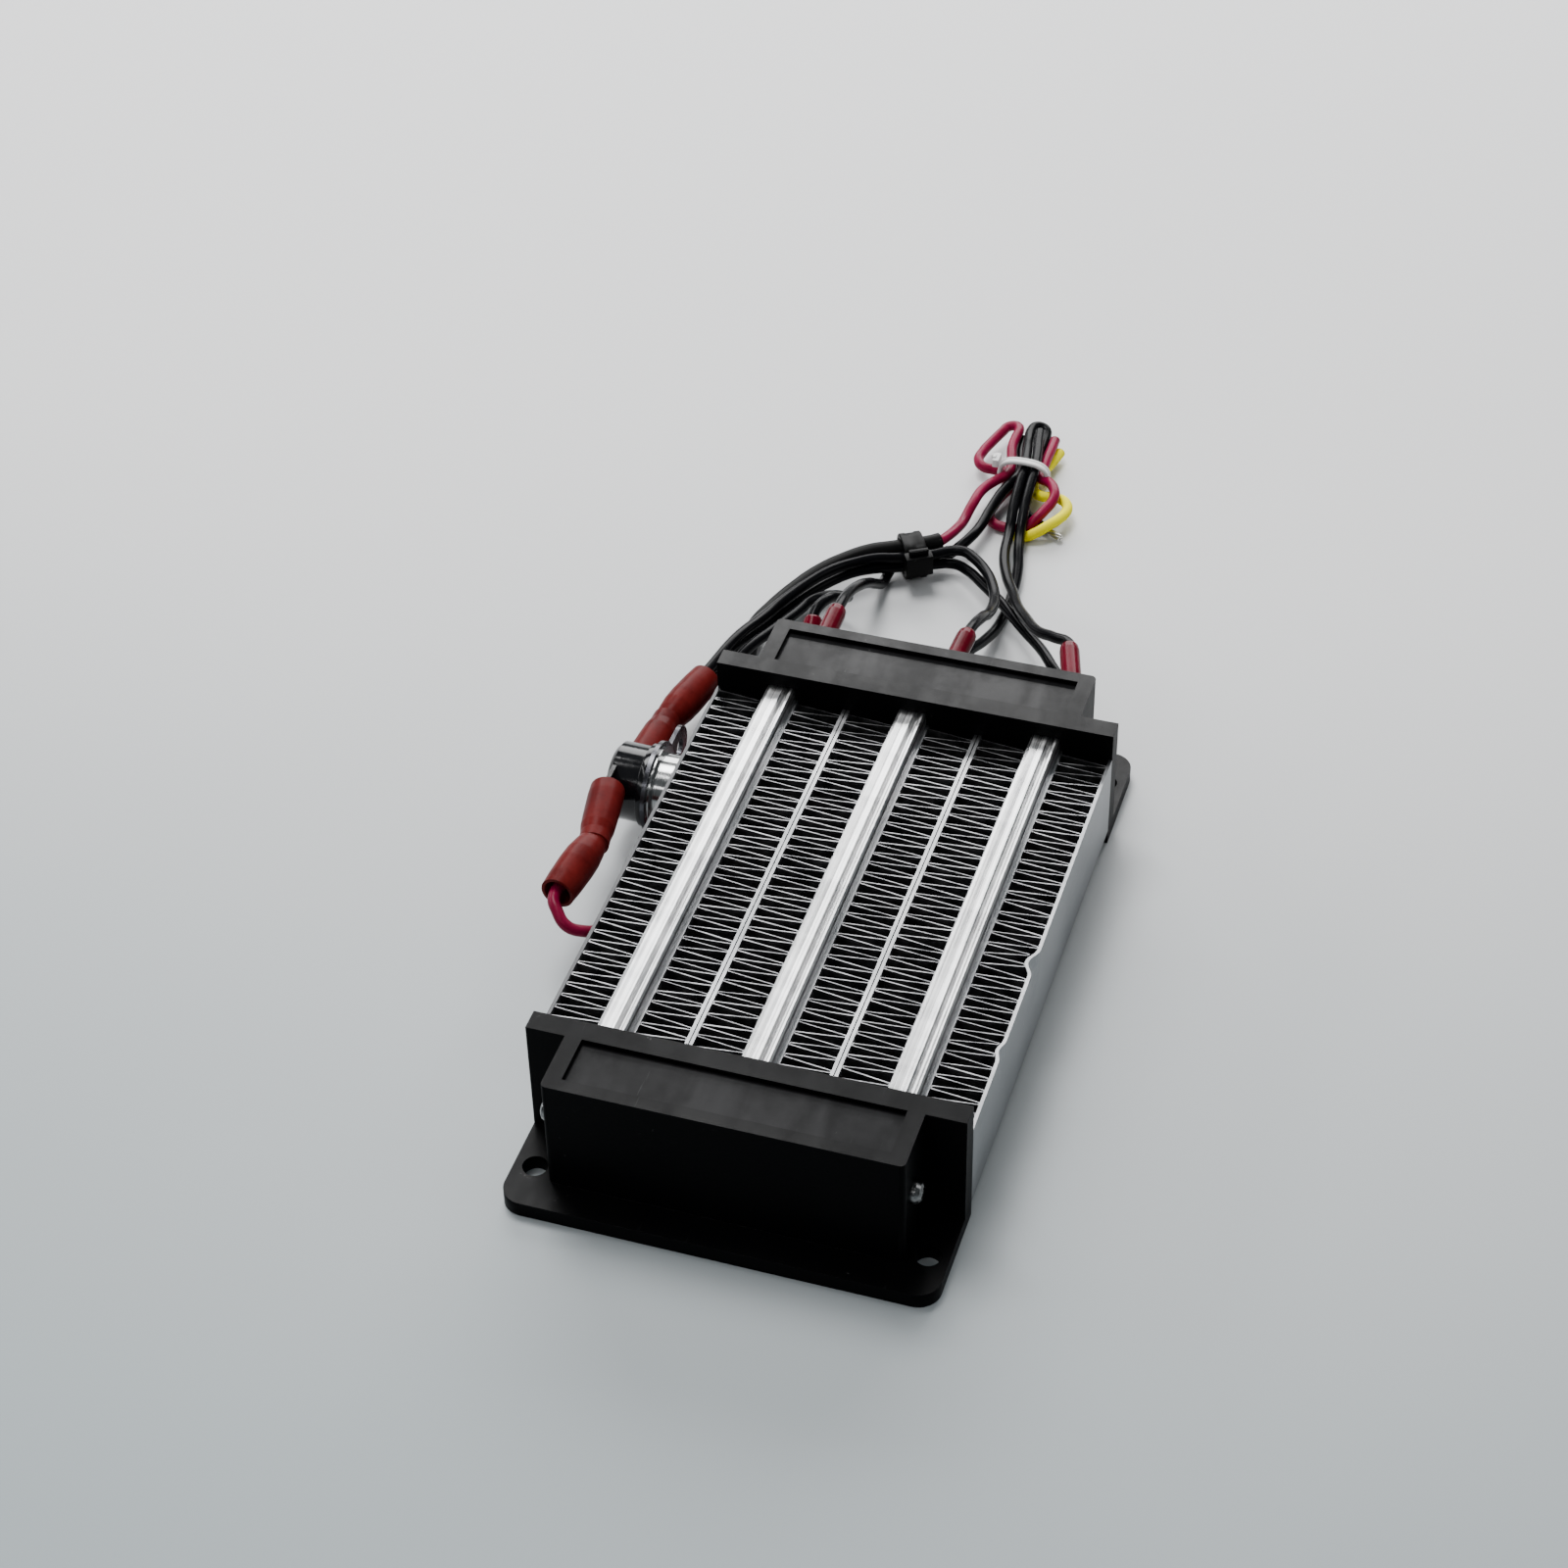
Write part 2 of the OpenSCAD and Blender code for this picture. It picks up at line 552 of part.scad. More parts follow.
// Two tabs that leave the body sideways and bend with their sleeves
module thermostat_tabs() {
    root = stat_pivot - 2.6;
    color("goldenrod") for (k = [0, 1]) {
        s = 2 * k - 1;
        translate(stat_root(k) - [0, s * root / 2, 0]) cube([tab_t, root, tab_w], center = true);
        translate(stat_root(k)) rotate([0, 0, -s * stat_lean[k]])
            translate([0, s * stat_tab_l / 2, 0]) cube([tab_t, stat_tab_l, tab_w], center = true);
    }
}

// Local Z of what follows runs out along a thermostat sleeve, before or past its kink
module along_stat(k, at, lean) {
    translate(at) rotate([k == 0 ? 90 : -90, 0, (1 - 2 * k) * lean[k]]) children();
}

// Crimped receptacles, bent where their sleeves are
module thermostat_crimps() {
    start = stat_tab_l + 0.1;
    color("goldenrod") for (k = [0, 1]) {
        along_stat(k, stat_root(k), stat_lean) translate([0, 0, start])
            cylinder(h = stat_kink + 0.4 - start, d = crimp_d);
        along_stat(k, stat_joint(k), stat_kink_lean) translate([0, 0, -0.4])
            cylinder(h = 2.4, d = crimp_d - 0.3);
    }
}

// Silicone sleeve that swells over the tab and again over the leads, kinked at the neck between
module thermostat_sleeve(k) {
    l = stat_sleeve_l + sleeve_start - stat_kink;
    r = stat_sleeve_d / 2;
    neck = neck_d / 2;
    slim = neck - 0.15;
    bore = 2.55;
    choke = 1.85;
    color("firebrick") difference() {
        union() {
            along_stat(k, stat_root(k), stat_lean) rotate_extrude() polygon([[0, sleeve_start],
                [r - 0.2, sleeve_start], [r - 0.1, 2.9], [r - 0.2, 8.4], [neck + 0.3, 11.2],
                [neck, 13.1], [neck, stat_kink + 0.8], [0, stat_kink + 0.8]]);
            along_stat(k, stat_joint(k), stat_kink_lean) rotate_extrude() polygon([[0, -1],
                [slim, -1], [slim, 0.8], [slim + 0.3, 2.2], [r - 0.1, 4.6], [r, 7.5],
                [r - 0.1, l - 3], [r - 0.3, l], [0, l]]);
        }
        along_stat(k, stat_root(k), stat_lean) rotate_extrude() polygon([[0, 0], [bore, 0],
            [bore, 9.6], [choke, 11.6], [choke, stat_kink + 0.6], [0, stat_kink + 0.6]]);
        along_stat(k, stat_joint(k), stat_kink_lean) rotate_extrude() polygon([[0, -0.7],
            [choke - 0.1, -0.7], [choke - 0.1, 0.6], [bore, 2.2], [bore, l + 1], [0, l + 1]]);
    }
}

// Thin sleeve over an electrode tab and the end of its lead
module terminal_sleeve(pivot, lean, tip, start) {
    r = terminal_sleeve_d / 2;
    color("darkred") translate(pivot) rotate([tip, 0, lean]) rotate([-90, 0, 0])
        translate([0, 0, start]) rotate_extrude() polygon([[terminal_bore / 2, 0],
            [r, 0], [r, terminal_sleeve_l - 1.6], [r - 0.15, terminal_sleeve_l - 0.4],
            [r - 0.35, terminal_sleeve_l], [terminal_bore / 2, terminal_sleeve_l]]);
}

module upper_terminal_sleeve(i) {
    terminal_sleeve(upper_pivot(i), upper_lean[i], upper_tip[i], upper_start[i]);
}

module lower_terminal_sleeve(i) {
    terminal_sleeve(lower_pivot(i), lower_lean[i], lower_tip[i], lower_start[i]);
}

// Leads from the thermostat's far sleeve; three lie in a triangle inside it
function in_far_sleeve(s, side, up) = past_kink(1, s, side, up);

module left_feed_lead() {
    color("black") lead(concat([in_far_sleeve(stat_lead_in, 1.2, -0.7)],
        [in_far_sleeve(stat_lead_out, 1.2, -0.7)], left_feed_route,
        [lower_axis(0, lead_out), lower_axis(0, lead_in)]), lead_d);
}

module middle_feed_lead() {
    color("black") lead(concat([in_far_sleeve(stat_lead_in, 0, 1.35)],
        [in_far_sleeve(stat_lead_out, 0, 1.35)], middle_feed_route,
        [upper_axis(1, lead_out), upper_axis(1, lead_in)]), lead_d);
}

module right_feed_lead() {
    color("black") lead(concat([in_far_sleeve(stat_lead_in, -1.2, -0.7)],
        [in_far_sleeve(stat_lead_out, -1.2, -0.7)], right_feed_route,
        [lower_axis(2, lead_out), lower_axis(2, lead_in)]), lead_d);
}

// Leads from the bars to the hank
module left_return_lead() {
    color("black") lead(concat([upper_axis(0, lead_in), upper_axis(0, lead_out)],
        left_return_route), lead_d);
}

module middle_return_lead() {
    color("black") lead(concat([lower_axis(1, lead_in), lower_axis(1, lead_out)],
        middle_return_route), lead_d);
}

module right_return_lead() {
    color("black") lead(concat([upper_axis(2, lead_in), upper_axis(2, lead_out)],
        right_return_route), lead_d);
}

supply_points = concat([past_kink(0, stat_lead_in), past_kink(0, stat_lead_out)], supply_route);

module supply_lead() {
    color("crimson") lead(supply_points, lead_d);
}

// Black cover on the supply lead, from beside the far cap to past the black tie
module supply_lead_cover() {
    color("black") cover(supply_points, cover_first, cover_last, cover_d, lead_d + 0.3);
}

// Outer shape of the folded leads, with a waist where the tie holds them
module lead_hank() {
    x = hank_w / 2 - near_round;
    y = hank_l / 2;
    color("dimgray") translate([hank_at[0], hank_at[1], hank_z]) difference() {
        linear_extrude(hank_h) {
            translate([-hank_w / 2, near_round - y])
                square([hank_w, hank_l - near_round - far_round]);
            translate([-x, -y]) square([2 * x, hank_l / 2]);
            translate([far_round - hank_w / 2, 0]) square([hank_w - 2 * far_round, y]);
            for (s = [-1, 1]) translate([s * x, near_round - y]) circle(near_round);
            for (s = [-1, 1]) translate([s * (hank_w / 2 - far_round), y - far_round])
                circle(far_round);
        }
        for (s = [-1, 1]) translate([s * (waist_w + hank_w) / 2, 0, hank_h / 2])
            cube([hank_w, waist_l, hank_h + 2], center = true);
        for (z = [0, hank_h]) translate([0, 0, z])
            cube([hank_w + 2, waist_l, 2 * (tie_t + 0.3)], center = true);
    }
}

// Strap of a given width closed round an opening of w by h, with its head and cut tail
module cable_tie(w, h, strap) {
    rotate([90, 0, 0]) translate([0, 0, -strap / 2]) {
        linear_extrude(strap) difference() {
            square([w + 2 * tie_t, h + 2 * tie_t], center = true);
            square([w, h], center = true);
            for (a = [-1, 1], b = [-1, 1])
                translate([a * (w / 2 + tie_t), b * (h / 2 + tie_t)]) rotate([0, 0, 45])
                    square(0.8, center = true);
        }
        translate([w / 2 + tie_t - eps, h / 2 + tie_t - 4.2, -0.5]) cube([2.6, 4.2, strap + 1]);
        translate([w / 2 + tie_t + 0.8, h / 2 + tie_t - eps, 0.4]) cube([tie_t, 1.8, strap - 0.8]);
    }
}

module black_cable_tie() {
    color("black") translate([black_tie_at[0], black_tie_at[1], black_tie_z])
        rotate([0, 0, black_tie_turn + 90])
            cable_tie(black_tie_hole[0], black_tie_hole[1], black_tie_w);
}

module white_cable_tie() {
    color("white") translate([hank_at[0], hank_at[1], hank_z + hank_h / 2])
        cable_tie(waist_w + 0.2, hank_h - 2 * tie_t - 0.4, white_tie_w);
}

near_end_cap();
far_end_cap();
cap_side_screws();
bar_tube(0);  // left_bar_tube
bar_tube(1);  // middle_bar_tube
bar_tube(2);  // right_bar_tube
bar_stones(0);  // left_bar_stones
bar_stones(1);  // middle_bar_stones
bar_stones(2);  // right_bar_stones
bar_film(0);  // left_bar_film
bar_film(1);  // middle_bar_film
bar_film(2);  // right_bar_film
upper_electrode(0);  // left_bar_upper_electrode
upper_electrode(1);  // middle_bar_upper_electrode
upper_electrode(2);  // right_bar_upper_electrode
lower_electrode(0);  // left_bar_lower_electrode
lower_electrode(1);  // middle_bar_lower_electrode
lower_electrode(2);  // right_bar_lower_electrode
fin_strip(0);  // fin_strip_1
fin_strip(1);  // fin_strip_2
fin_strip(2);  // fin_strip_3
fin_strip(3);  // fin_strip_4
fin_strip(4);  // fin_strip_5
fin_strip(5);  // fin_strip_6
fin_plate(0, -1);  // fin_strip_1_left_plate
fin_plate(0, 1);  // fin_strip_1_right_plate
fin_plate(1, -1);  // fin_strip_2_left_plate
fin_plate(1, 1);  // fin_strip_2_right_plate
fin_plate(2, -1);  // fin_strip_3_left_plate
fin_plate(2, 1);  // fin_strip_3_right_plate
fin_plate(3, -1);  // fin_strip_4_left_plate
fin_plate(3, 1);  // fin_strip_4_right_plate
fin_plate(4, -1);  // fin_strip_5_left_plate
fin_plate(4, 1);  // fin_strip_5_right_plate
fin_plate(5, -1);  // fin_strip_6_left_plate
dented_plate();  // fin_strip_6_right_plate
thermostat_cup();
thermostat_bracket();
thermostat_body();
thermostat_tabs();
thermostat_crimps();
thermostat_sleeve(0);  // thermostat_near_sleeve
thermostat_sleeve(1);  // thermostat_far_sleeve
upper_terminal_sleeve(0);  // left_upper_terminal_sleeve
upper_terminal_sleeve(1);  // middle_upper_terminal_sleeve
upper_terminal_sleeve(2);  // right_upper_terminal_sleeve
lower_terminal_sleeve(0);  // left_lower_terminal_sleeve
lower_terminal_sleeve(1);  // middle_lower_terminal_sleeve
lower_terminal_sleeve(2);  // right_lower_terminal_sleeve
left_feed_lead();
middle_feed_lead();
right_feed_lead();
left_return_lead();
middle_return_lead();
right_return_lead();
supply_lead();
supply_lead_cover();
lead_hank();
black_cable_tie();
white_cable_tie();
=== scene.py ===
import math
import bpy
import bmesh
from mathutils import Matrix, Vector


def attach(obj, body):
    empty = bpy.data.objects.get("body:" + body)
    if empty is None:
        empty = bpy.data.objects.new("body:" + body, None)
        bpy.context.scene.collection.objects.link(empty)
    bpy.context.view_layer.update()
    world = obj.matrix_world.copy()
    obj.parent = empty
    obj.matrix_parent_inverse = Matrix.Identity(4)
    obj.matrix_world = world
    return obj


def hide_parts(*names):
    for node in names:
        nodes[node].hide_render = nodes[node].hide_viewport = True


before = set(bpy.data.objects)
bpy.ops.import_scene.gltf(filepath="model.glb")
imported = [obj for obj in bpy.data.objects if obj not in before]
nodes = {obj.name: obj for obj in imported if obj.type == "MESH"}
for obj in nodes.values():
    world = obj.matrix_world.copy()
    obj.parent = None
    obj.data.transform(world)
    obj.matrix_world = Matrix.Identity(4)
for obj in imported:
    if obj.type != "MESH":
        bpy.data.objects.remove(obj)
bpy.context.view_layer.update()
mm = 0.001

print("stage: camera")
photoView = {
    "place": (0.13057, -0.41527, 0.42550),
    "right": (0.95254, 0.30389, -0.01810),
    "up": (-0.18688, 0.63064, 0.75324),
    "ahead": (-0.24032, 0.71410, -0.65750),
    "lens": 77.86,
    "sensor": 36,
    "nearest": 0.02,
}


def setCamera(view):
    data = bpy.data.cameras.new("photoCamera")
    data.lens = view["lens"]
    data.sensor_width = view["sensor"]
    data.clip_start = view["nearest"]
    camera = bpy.data.objects.new("photoCamera", data)
    bpy.context.scene.collection.objects.link(camera)
    rows = [(view["right"][i], view["up"][i], -view["ahead"][i], view["place"][i]) for i in range(3)]
    camera.matrix_world = Matrix((*rows, (0, 0, 0, 1)))
    bpy.context.scene.camera = camera


setCamera(photoView)


class Signal:  # a shader value on its way, with the usual sums
    def __init__(self, tree, socket=None):
        self.tree = tree
        self.socket = socket

    def add(self, kind, settings=None, inputs=None, out=0):  # any node: settings first, then its sockets
        node = self.tree.nodes.new(kind)
        for key, value in (settings or {}).items():
            setattr(node, key, value)
        for key, value in (inputs or {}).items():
            if isinstance(value, Signal):
                self.tree.links.new(value.socket, node.inputs[key])
            else:
                node.inputs[key].default_value = value
        return Signal(self.tree, node.outputs[out] if len(node.outputs) else None)

    def sum(self, operation, a, b):
        return self.add("ShaderNodeMath", {"operation": operation}, {0: a, 1: b})

    def __add__(self, other):
        return self.sum("ADD", self, other)

    def __radd__(self, other):
        return self.sum("ADD", other, self)

    def __sub__(self, other):
        return self.sum("SUBTRACT", self, other)

    def __rsub__(self, other):
        return self.sum("SUBTRACT", other, self)

    def __mul__(self, other):
        return self.sum("MULTIPLY", self, other)

    def __rmul__(self, other):
        return self.sum("MULTIPLY", other, self)

    def __pow__(self, other):
        return self.sum("POWER", self, other)

    def __rpow__(self, other):
        return self.sum("POWER", other, self)

    def step(self, low, high, fromValue=0.0, toValue=1.0):  # smooth change between two values
        return self.add("ShaderNodeMapRange", {"interpolation_type": "SMOOTHSTEP"},
                        {0: self, 1: low, 2: high, 3: fromValue, 4: toValue})

    def between(self, first, second):  # colour that this value picks between two
        pair = [c if isinstance(c, Signal) else (*c, 1) for c in (first, second)]
        return self.add("ShaderNodeMix", {"data_type": "RGBA"}, {0: self, 6: pair[0], 7: pair[1]}, 2)

    def stretched(self, scales):  # this place, closer together along an axis with a large scale
        return self.add("ShaderNodeVectorMath", {"operation": "MULTIPLY"}, {0: self, 1: scales})

    def cloud(self, scale, detail=3.0, roughness=0.5, distortion=0.0):  # noise round this place
        return self.add("ShaderNodeTexNoise", None, {"Vector": self, "Scale": scale, "Detail": detail,
                        "Roughness": roughness, "Distortion": distortion})

    def streaks(self, scale, detail):  # noise along one value only
        return self.add("ShaderNodeTexNoise", {"noise_dimensions": "1D"},
                        {"W": self, "Scale": scale, "Detail": detail})

    def axis(self, index):  # 0 across, 1 along, 2 up
        return self.add("ShaderNodeSeparateXYZ", None, {0: self}, index)

    def relief(self, distance, strength=1.0, under=None):  # bumps as high as this value says
        inputs = {"Height": self, "Distance": distance, "Strength": strength}
        if under is not None:
            inputs["Normal"] = under
        return self.add("ShaderNodeBump", None, inputs)


def startFinish(name):  # a new material, its first signal and the place on the piece
    material = bpy.data.materials.new(name)
    material.use_nodes = True
    material.node_tree.nodes.clear()
    begin = Signal(material.node_tree)
    return material, begin, begin.add("ShaderNodeTexCoord", None, None, "Object")


def endFinish(begin, inputs):
    shader = begin.add("ShaderNodeBsdfPrincipled", None, inputs)
    begin.add("ShaderNodeOutputMaterial", None, {"Surface": shader})


def facingUp(begin):
    return begin.add("ShaderNodeNewGeometry", None, None, "Normal").axis(2)


print("stage: finishes")
capLook = {
    "dark": (0.0010, 0.0010, 0.0012),
    "light": (0.0030, 0.0030, 0.0034),
    # panel: lighter colour of the recessed panel's floor, partly its own mottle and partly painted sheen
    "panel": (0.011, 0.011, 0.012),
    "panelFrom": (0.0246, 0.0249),  # heights between which the recessed panel's look, its mottle and a painted sheen, comes and goes
    "panelTo": (0.0252, 0.0256),
    "worn": (0.085, 0.085, 0.085),
    "roughness": 0.42,
    "gloss": 0.03,
    "coat": 0.30,
    "coatRoughness": 0.22,
}


def mouldedPlastic(look):
    material, begin, place = startFinish("mouldedPlastic")
    soft = place.cloud(55, 4, 0.55)
    grain = place.cloud(2600, 2, 0.6)
    mottle = place.stretched((1, 0.3, 1)).cloud(150, 3, 0.55, 0.5) * 0.75 + place.cloud(520, 3, 0.6) * 0.25
    height = place.axis(2)
    top = facingUp(begin).step(0.6, 0.95)
    panel = top * height.step(*look["panelFrom"]) * (1 - height.step(*look["panelTo"]))
    lines = place.stretched((900, 60, 900)).cloud(1, 3, 0.7)
    scuffs = lines.step(0.66, 0.74) * place.cloud(70, 2).step(0.45, 0.7)
    plain = soft.between(look["dark"], look["light"])
    # partly painted sheen: the panel's up-facing floor is coloured lighter, for the grey the tops show under
    # overhead light, mottled by its own streaks
    spotted = (mottle.step(0.35, 0.75) * 0.8 + 0.1).between(look["light"], look["panel"])
    colourWithPanelSheen = panel.between(plain, spotted)
    flecks = top * place.cloud(520, 2, 0.7).step(0.70, 0.76) * place.cloud(90, 2).step(0.5, 0.65)
    worn = (scuffs * 0.30 + flecks * 0.7).between(colourWithPanelSheen, look["worn"])
    sheen = top * look["coat"] * (0.6 + mottle.step(0.35, 0.65) * 0.5 + panel * 0.1)
    roughness = look["roughness"] + (soft - 0.5) * 0.16 + (grain - 0.5) * 0.10 + panel * 0.12 + scuffs * 0.1
    bumps = grain.relief(0.00003, 0.5, (mottle * (panel + 0.15)).relief(0.00006, 0.5))
    endFinish(begin, {"Base Color": worn, "Roughness": roughness, "Normal": bumps,
                      "Specular IOR Level": look["gloss"], "Coat Weight": sheen,
                      "Coat Roughness": look["coatRoughness"]})
    return material


barLook = {
    "bright": (0.86, 0.86, 0.86),
    "dull": (0.46, 0.46, 0.47),
    "stain": (0.40, 0.41, 0.43),
    "roughness": 0.30,
}


def drawnAluminium(look):
    material, begin, place = startFinish("drawnAluminium")
    lines = place.stretched((2600, 9, 2600)).cloud(1, 3, 0.6)
    fine = place.stretched((7000, 30, 7000)).cloud(1, 2, 0.6)
    smudge = place.cloud(60, 4, 0.6)
    bands = place.axis(1).streaks(160.0, 3.0)
    tone = lines * 0.55 + fine * 0.2 + bands * 0.25
    colour = tone.step(0.30, 0.62).between(look["dull"], look["bright"])
    stained = (smudge.step(0.58, 0.75) * 0.35).between(colour, look["stain"])
    roughness = look["roughness"] + (lines - 0.5) * 0.22 + (smudge - 0.5) * 0.2 + (bands - 0.5) * 0.08
    bumps = fine.relief(0.00001, 0.5, lines.relief(0.00003, 0.5))
    endFinish(begin, {"Base Color": stained, "Roughness": roughness, "Metallic": 1.0, "Normal": bumps})
    return material


finLook = {
    "bright": (0.40, 0.40, 0.41),
    "dull": (0.14, 0.14, 0.15),
    # edge: painted highlight colour of the fins' cut tops
    "edge": (0.42, 0.42, 0.43),
    "edgeFrom": (0.0170, 0.0203),  # heights between which the cut edges get a painted highlight, where they catch the light
    "roughness": 0.30,
}


def foldedFoil(look):
    material, begin, place = startFinish("foldedFoil")
    wrinkle = place.stretched((1, 1, 0.35)).cloud(420, 4, 0.6, 0.3)
    patch = place.cloud(260, 4, 0.6)
    brushed = place.stretched((300, 3000, 60)).cloud(1, 2)
    # painted highlight: the fin tops are coloured lighter towards their top
    highlightBand = place.axis(2).step(*look["edgeFrom"])
    tone = patch * 0.6 + brushed * 0.4
    colour = tone.step(0.32, 0.66).between(look["dull"], look["bright"])
    lit = (highlightBand * patch * 0.7).between(colour, look["edge"])
    roughness = look["roughness"] + (patch - 0.5) * 0.2 + (brushed - 0.5) * 0.12
    bumps = wrinkle.relief(0.00007, 0.6, brushed.relief(0.00001, 0.4))
    endFinish(begin, {"Base Color": lit, "Roughness": roughness, "Metallic": 1.0, "Normal": bumps})
    return material


plateLook = {
    # bright: painted highlight colour of the plates' top edges
    "bright": (0.46, 0.46, 0.47),
    "face": (0.34, 0.35, 0.36),
    "dark": (0.22, 0.23, 0.24),
    "speck": (0.62, 0.63, 0.64),
    "darkTop": (0.035, 0.035, 0.037),
    "darkTopTo": (-0.0368, -0.0362),  # only the outer left plate's top is coloured dark, without the painted highlight
    "roughness": 0.42,
}


def rolledPlate(look):
    material, begin, place = startFinish("rolledPlate")
    # painted highlight: faces turned up, the plates' top edges, are coloured lighter
    edge = facingUp(begin).step(0.55, 0.9)
    rolled = place.stretched((60, 40, 1600)).cloud(1, 3, 0.6)
    patch = place.cloud(45, 5, 0.6)
    speck = place.cloud(900, 2, 0.7).step(0.62, 0.78)
    face = (patch * 0.7 + rolled * 0.3).step(0.3, 0.7).between(look["dark"], look["face"])
    spotted = (speck * 0.35).between(face, look["speck"])
    paintedEdgeHighlight = patch.step(0.35, 0.65).between(look["face"], look["bright"])
    leftEdge = 1 - place.axis(0).step(*look["darkTopTo"])
    colour = edge.between(spotted, (leftEdge * 0.9).between(paintedEdgeHighlight, look["darkTop"]))
    roughness = look["roughness"] + (patch - 0.5) * 0.22 + (rolled - 0.5) * 0.15 - edge * 0.12 + speck * 0.1
    bumps = rolled.relief(0.00002, 0.5, patch.relief(0.00012, 0.5))
    endFinish(begin, {"Base Color": colour, "Roughness": roughness, "Metallic": 1.0, "Normal": bumps})
    return material


screwLook = {"bright": (0.30, 0.30, 0.30), "dull": (0.06, 0.06, 0.06), "roughness": 0.22}
# painted shade: the thermostat tabs are coloured near black, as they show in shade, over silver-grey metal
shadedTabLook = {"bright": (0.09, 0.09, 0.09), "dull": (0.03, 0.03, 0.03), "roughness": 0.40}
brassLook = {"bright": (0.78, 0.58, 0.28), "dull": (0.46, 0.31, 0.14), "roughness": 0.34}
tinLook = {"bright": (0.70, 0.69, 0.66), "dull": (0.42, 0.41, 0.40), "roughness": 0.34}
electrodeLook = {"bright": (0.78, 0.79, 0.80), "dull": (0.52, 0.53, 0.55), "roughness": 0.3}


def plainMetal(name, look):
    material, begin, place = startFinish(name)
    patch = place.cloud(180, 4, 0.6)
    grain = place.cloud(2700, 2, 0.6)
    tone = patch * 0.65 + grain * 0.35
    colour = tone.step(0.32, 0.68).between(look["dull"], look["bright"])
    roughness = look["roughness"] + (patch - 0.5) * 0.24 + (grain - 0.5) * 0.14
    bumps = grain.relief(0.00001, 0.5, patch.relief(0.00003, 0.4))
    endFinish(begin, {"Base Color": colour, "Roughness": roughness, "Metallic": 1.0, "Normal": bumps})
    return material


cupLook = {
    "bright": (0.48, 0.48, 0.48),
    "dull": (0.09, 0.09, 0.09),
    "middle": (0.0267, 0.0118),  # the cup's axis, along and up
    "roughness": 0.15,
}


def spunMetal(look):  # turned rings round the cup's axis
    material, begin, place = startFinish("spunMetal")
    across = place.axis(1) - look["middle"][0]
    up = place.axis(2) - look["middle"][1]
    radius = (across * across + up * up) ** 0.5
    rings = radius.streaks(4200.0, 3.0)
    drawn = place.axis(0).streaks(5200.0, 2.0)
    smudge = place.cloud(160, 4, 0.6)
    tone = rings * 0.4 + drawn * 0.3 + smudge * 0.3
    colour = tone.step(0.32, 0.66).between(look["dull"], look["bright"])
    roughness = look["roughness"] + (rings - 0.5) * 0.14 + (smudge - 0.5) * 0.2
    bumps = (rings + drawn).relief(0.00002, 0.5)
    endFinish(begin, {"Base Color": colour, "Roughness": roughness, "Metallic": 1.0, "Normal": bumps})
    return material


# painted shade: the bracket is coloured near black, as dark as it shows in shade
shadedBracketLook = {"bright": (0.10, 0.10, 0.11), "dull": (0.03, 0.03, 0.035), "roughness": 0.24}


def zincSheet(look):  # faint crystals of a zinc coat
    material, begin, place = startFinish("zincSheet")
    crystals = begin.add("ShaderNodeTexVoronoi", {"feature": "F1"}, {"Vector": place, "Scale": 420.0}, "Color")
    flake = crystals.axis(0)
    patch = place.cloud(160, 4, 0.6)
    colour = (flake * 0.5 + patch * 0.5).step(0.2, 0.8).between(look["dull"], look["bright"])
    roughness = look["roughness"] + (flake - 0.5) * 0.14 + (patch - 0.5) * 0.2
    bumps = patch.relief(0.00003, 0.4)
    endFinish(begin, {"Base Color": colour, "Roughness": roughness, "Metallic": 1.0, "Normal": bumps})
    return material


dustColour = (0.30, 0.29, 0.27)
bodyLook = {"dark": (0.002, 0.002, 0.003), "light": (0.006, 0.006, 0.007),
            "roughness": 0.15, "gloss": 0.28, "grain": 1500, "dust": 0.25}
blackLeadLook = {"dark": (0.0015, 0.0015, 0.002), "light": (0.004, 0.004, 0.005),
                 "roughness": 0.24, "gloss": 0.06, "grain": 2200, "dust": 0.12}
coverLook = {"dark": (0.002, 0.002, 0.002), "light": (0.005, 0.005, 0.005),
             "roughness": 0.42, "gloss": 0.07, "grain": 2600, "dust": 0.4}
crimsonLeadLook = {"dark": (0.140, 0.001, 0.020), "light": (0.260, 0.002, 0.046),
                   "roughness": 0.32, "gloss": 0.12, "grain": 2200, "dust": 0.08}
yellowLeadLook = {"dark": (0.84, 0.72, 0.000), "light": (1.0, 0.92, 0.000),
                  "roughness": 0.40, "gloss": 0.02, "grain": 2200, "dust": 0.0}
brickSleeveLook = {"dark": (0.066, 0.0036, 0.0040), "light": (0.128, 0.0088, 0.0080),
                   "roughness": 0.34, "gloss": 0.05, "grain": 1200, "dust": 0.08, "peel": 0.00001}
crimsonSleeveLook = {"dark": (0.072, 0.001, 0.006), "light": (0.130, 0.001, 0.013),
                     "roughness": 0.18, "gloss": 0.07, "grain": 900, "dust": 0.05}
blackTieLook = {"dark": (0.0015, 0.0015, 0.0015), "light": (0.003, 0.003, 0.003),
                "roughness": 0.36, "gloss": 0.06, "grain": 1600, "dust": 0.2}
whiteTieLook = {"dark": (0.66, 0.65, 0.64), "light": (0.84, 0.84, 0.83),
                "roughness": 0.38, "gloss": 0.4, "grain": 1600, "dust": 0.1}
stoneLook = {"dark": (0.10, 0.10, 0.11), "light": (0.24, 0.24, 0.25),
             "roughness": 0.72, "gloss": 0.3, "grain": 3200, "dust": 0.1, "peel": 0.00006}
filmLook = {"dark": (0.42, 0.16, 0.02), "light": (0.62, 0.27, 0.04),
            "roughness": 0.22, "gloss": 0.5, "grain": 900, "dust": 0.0}


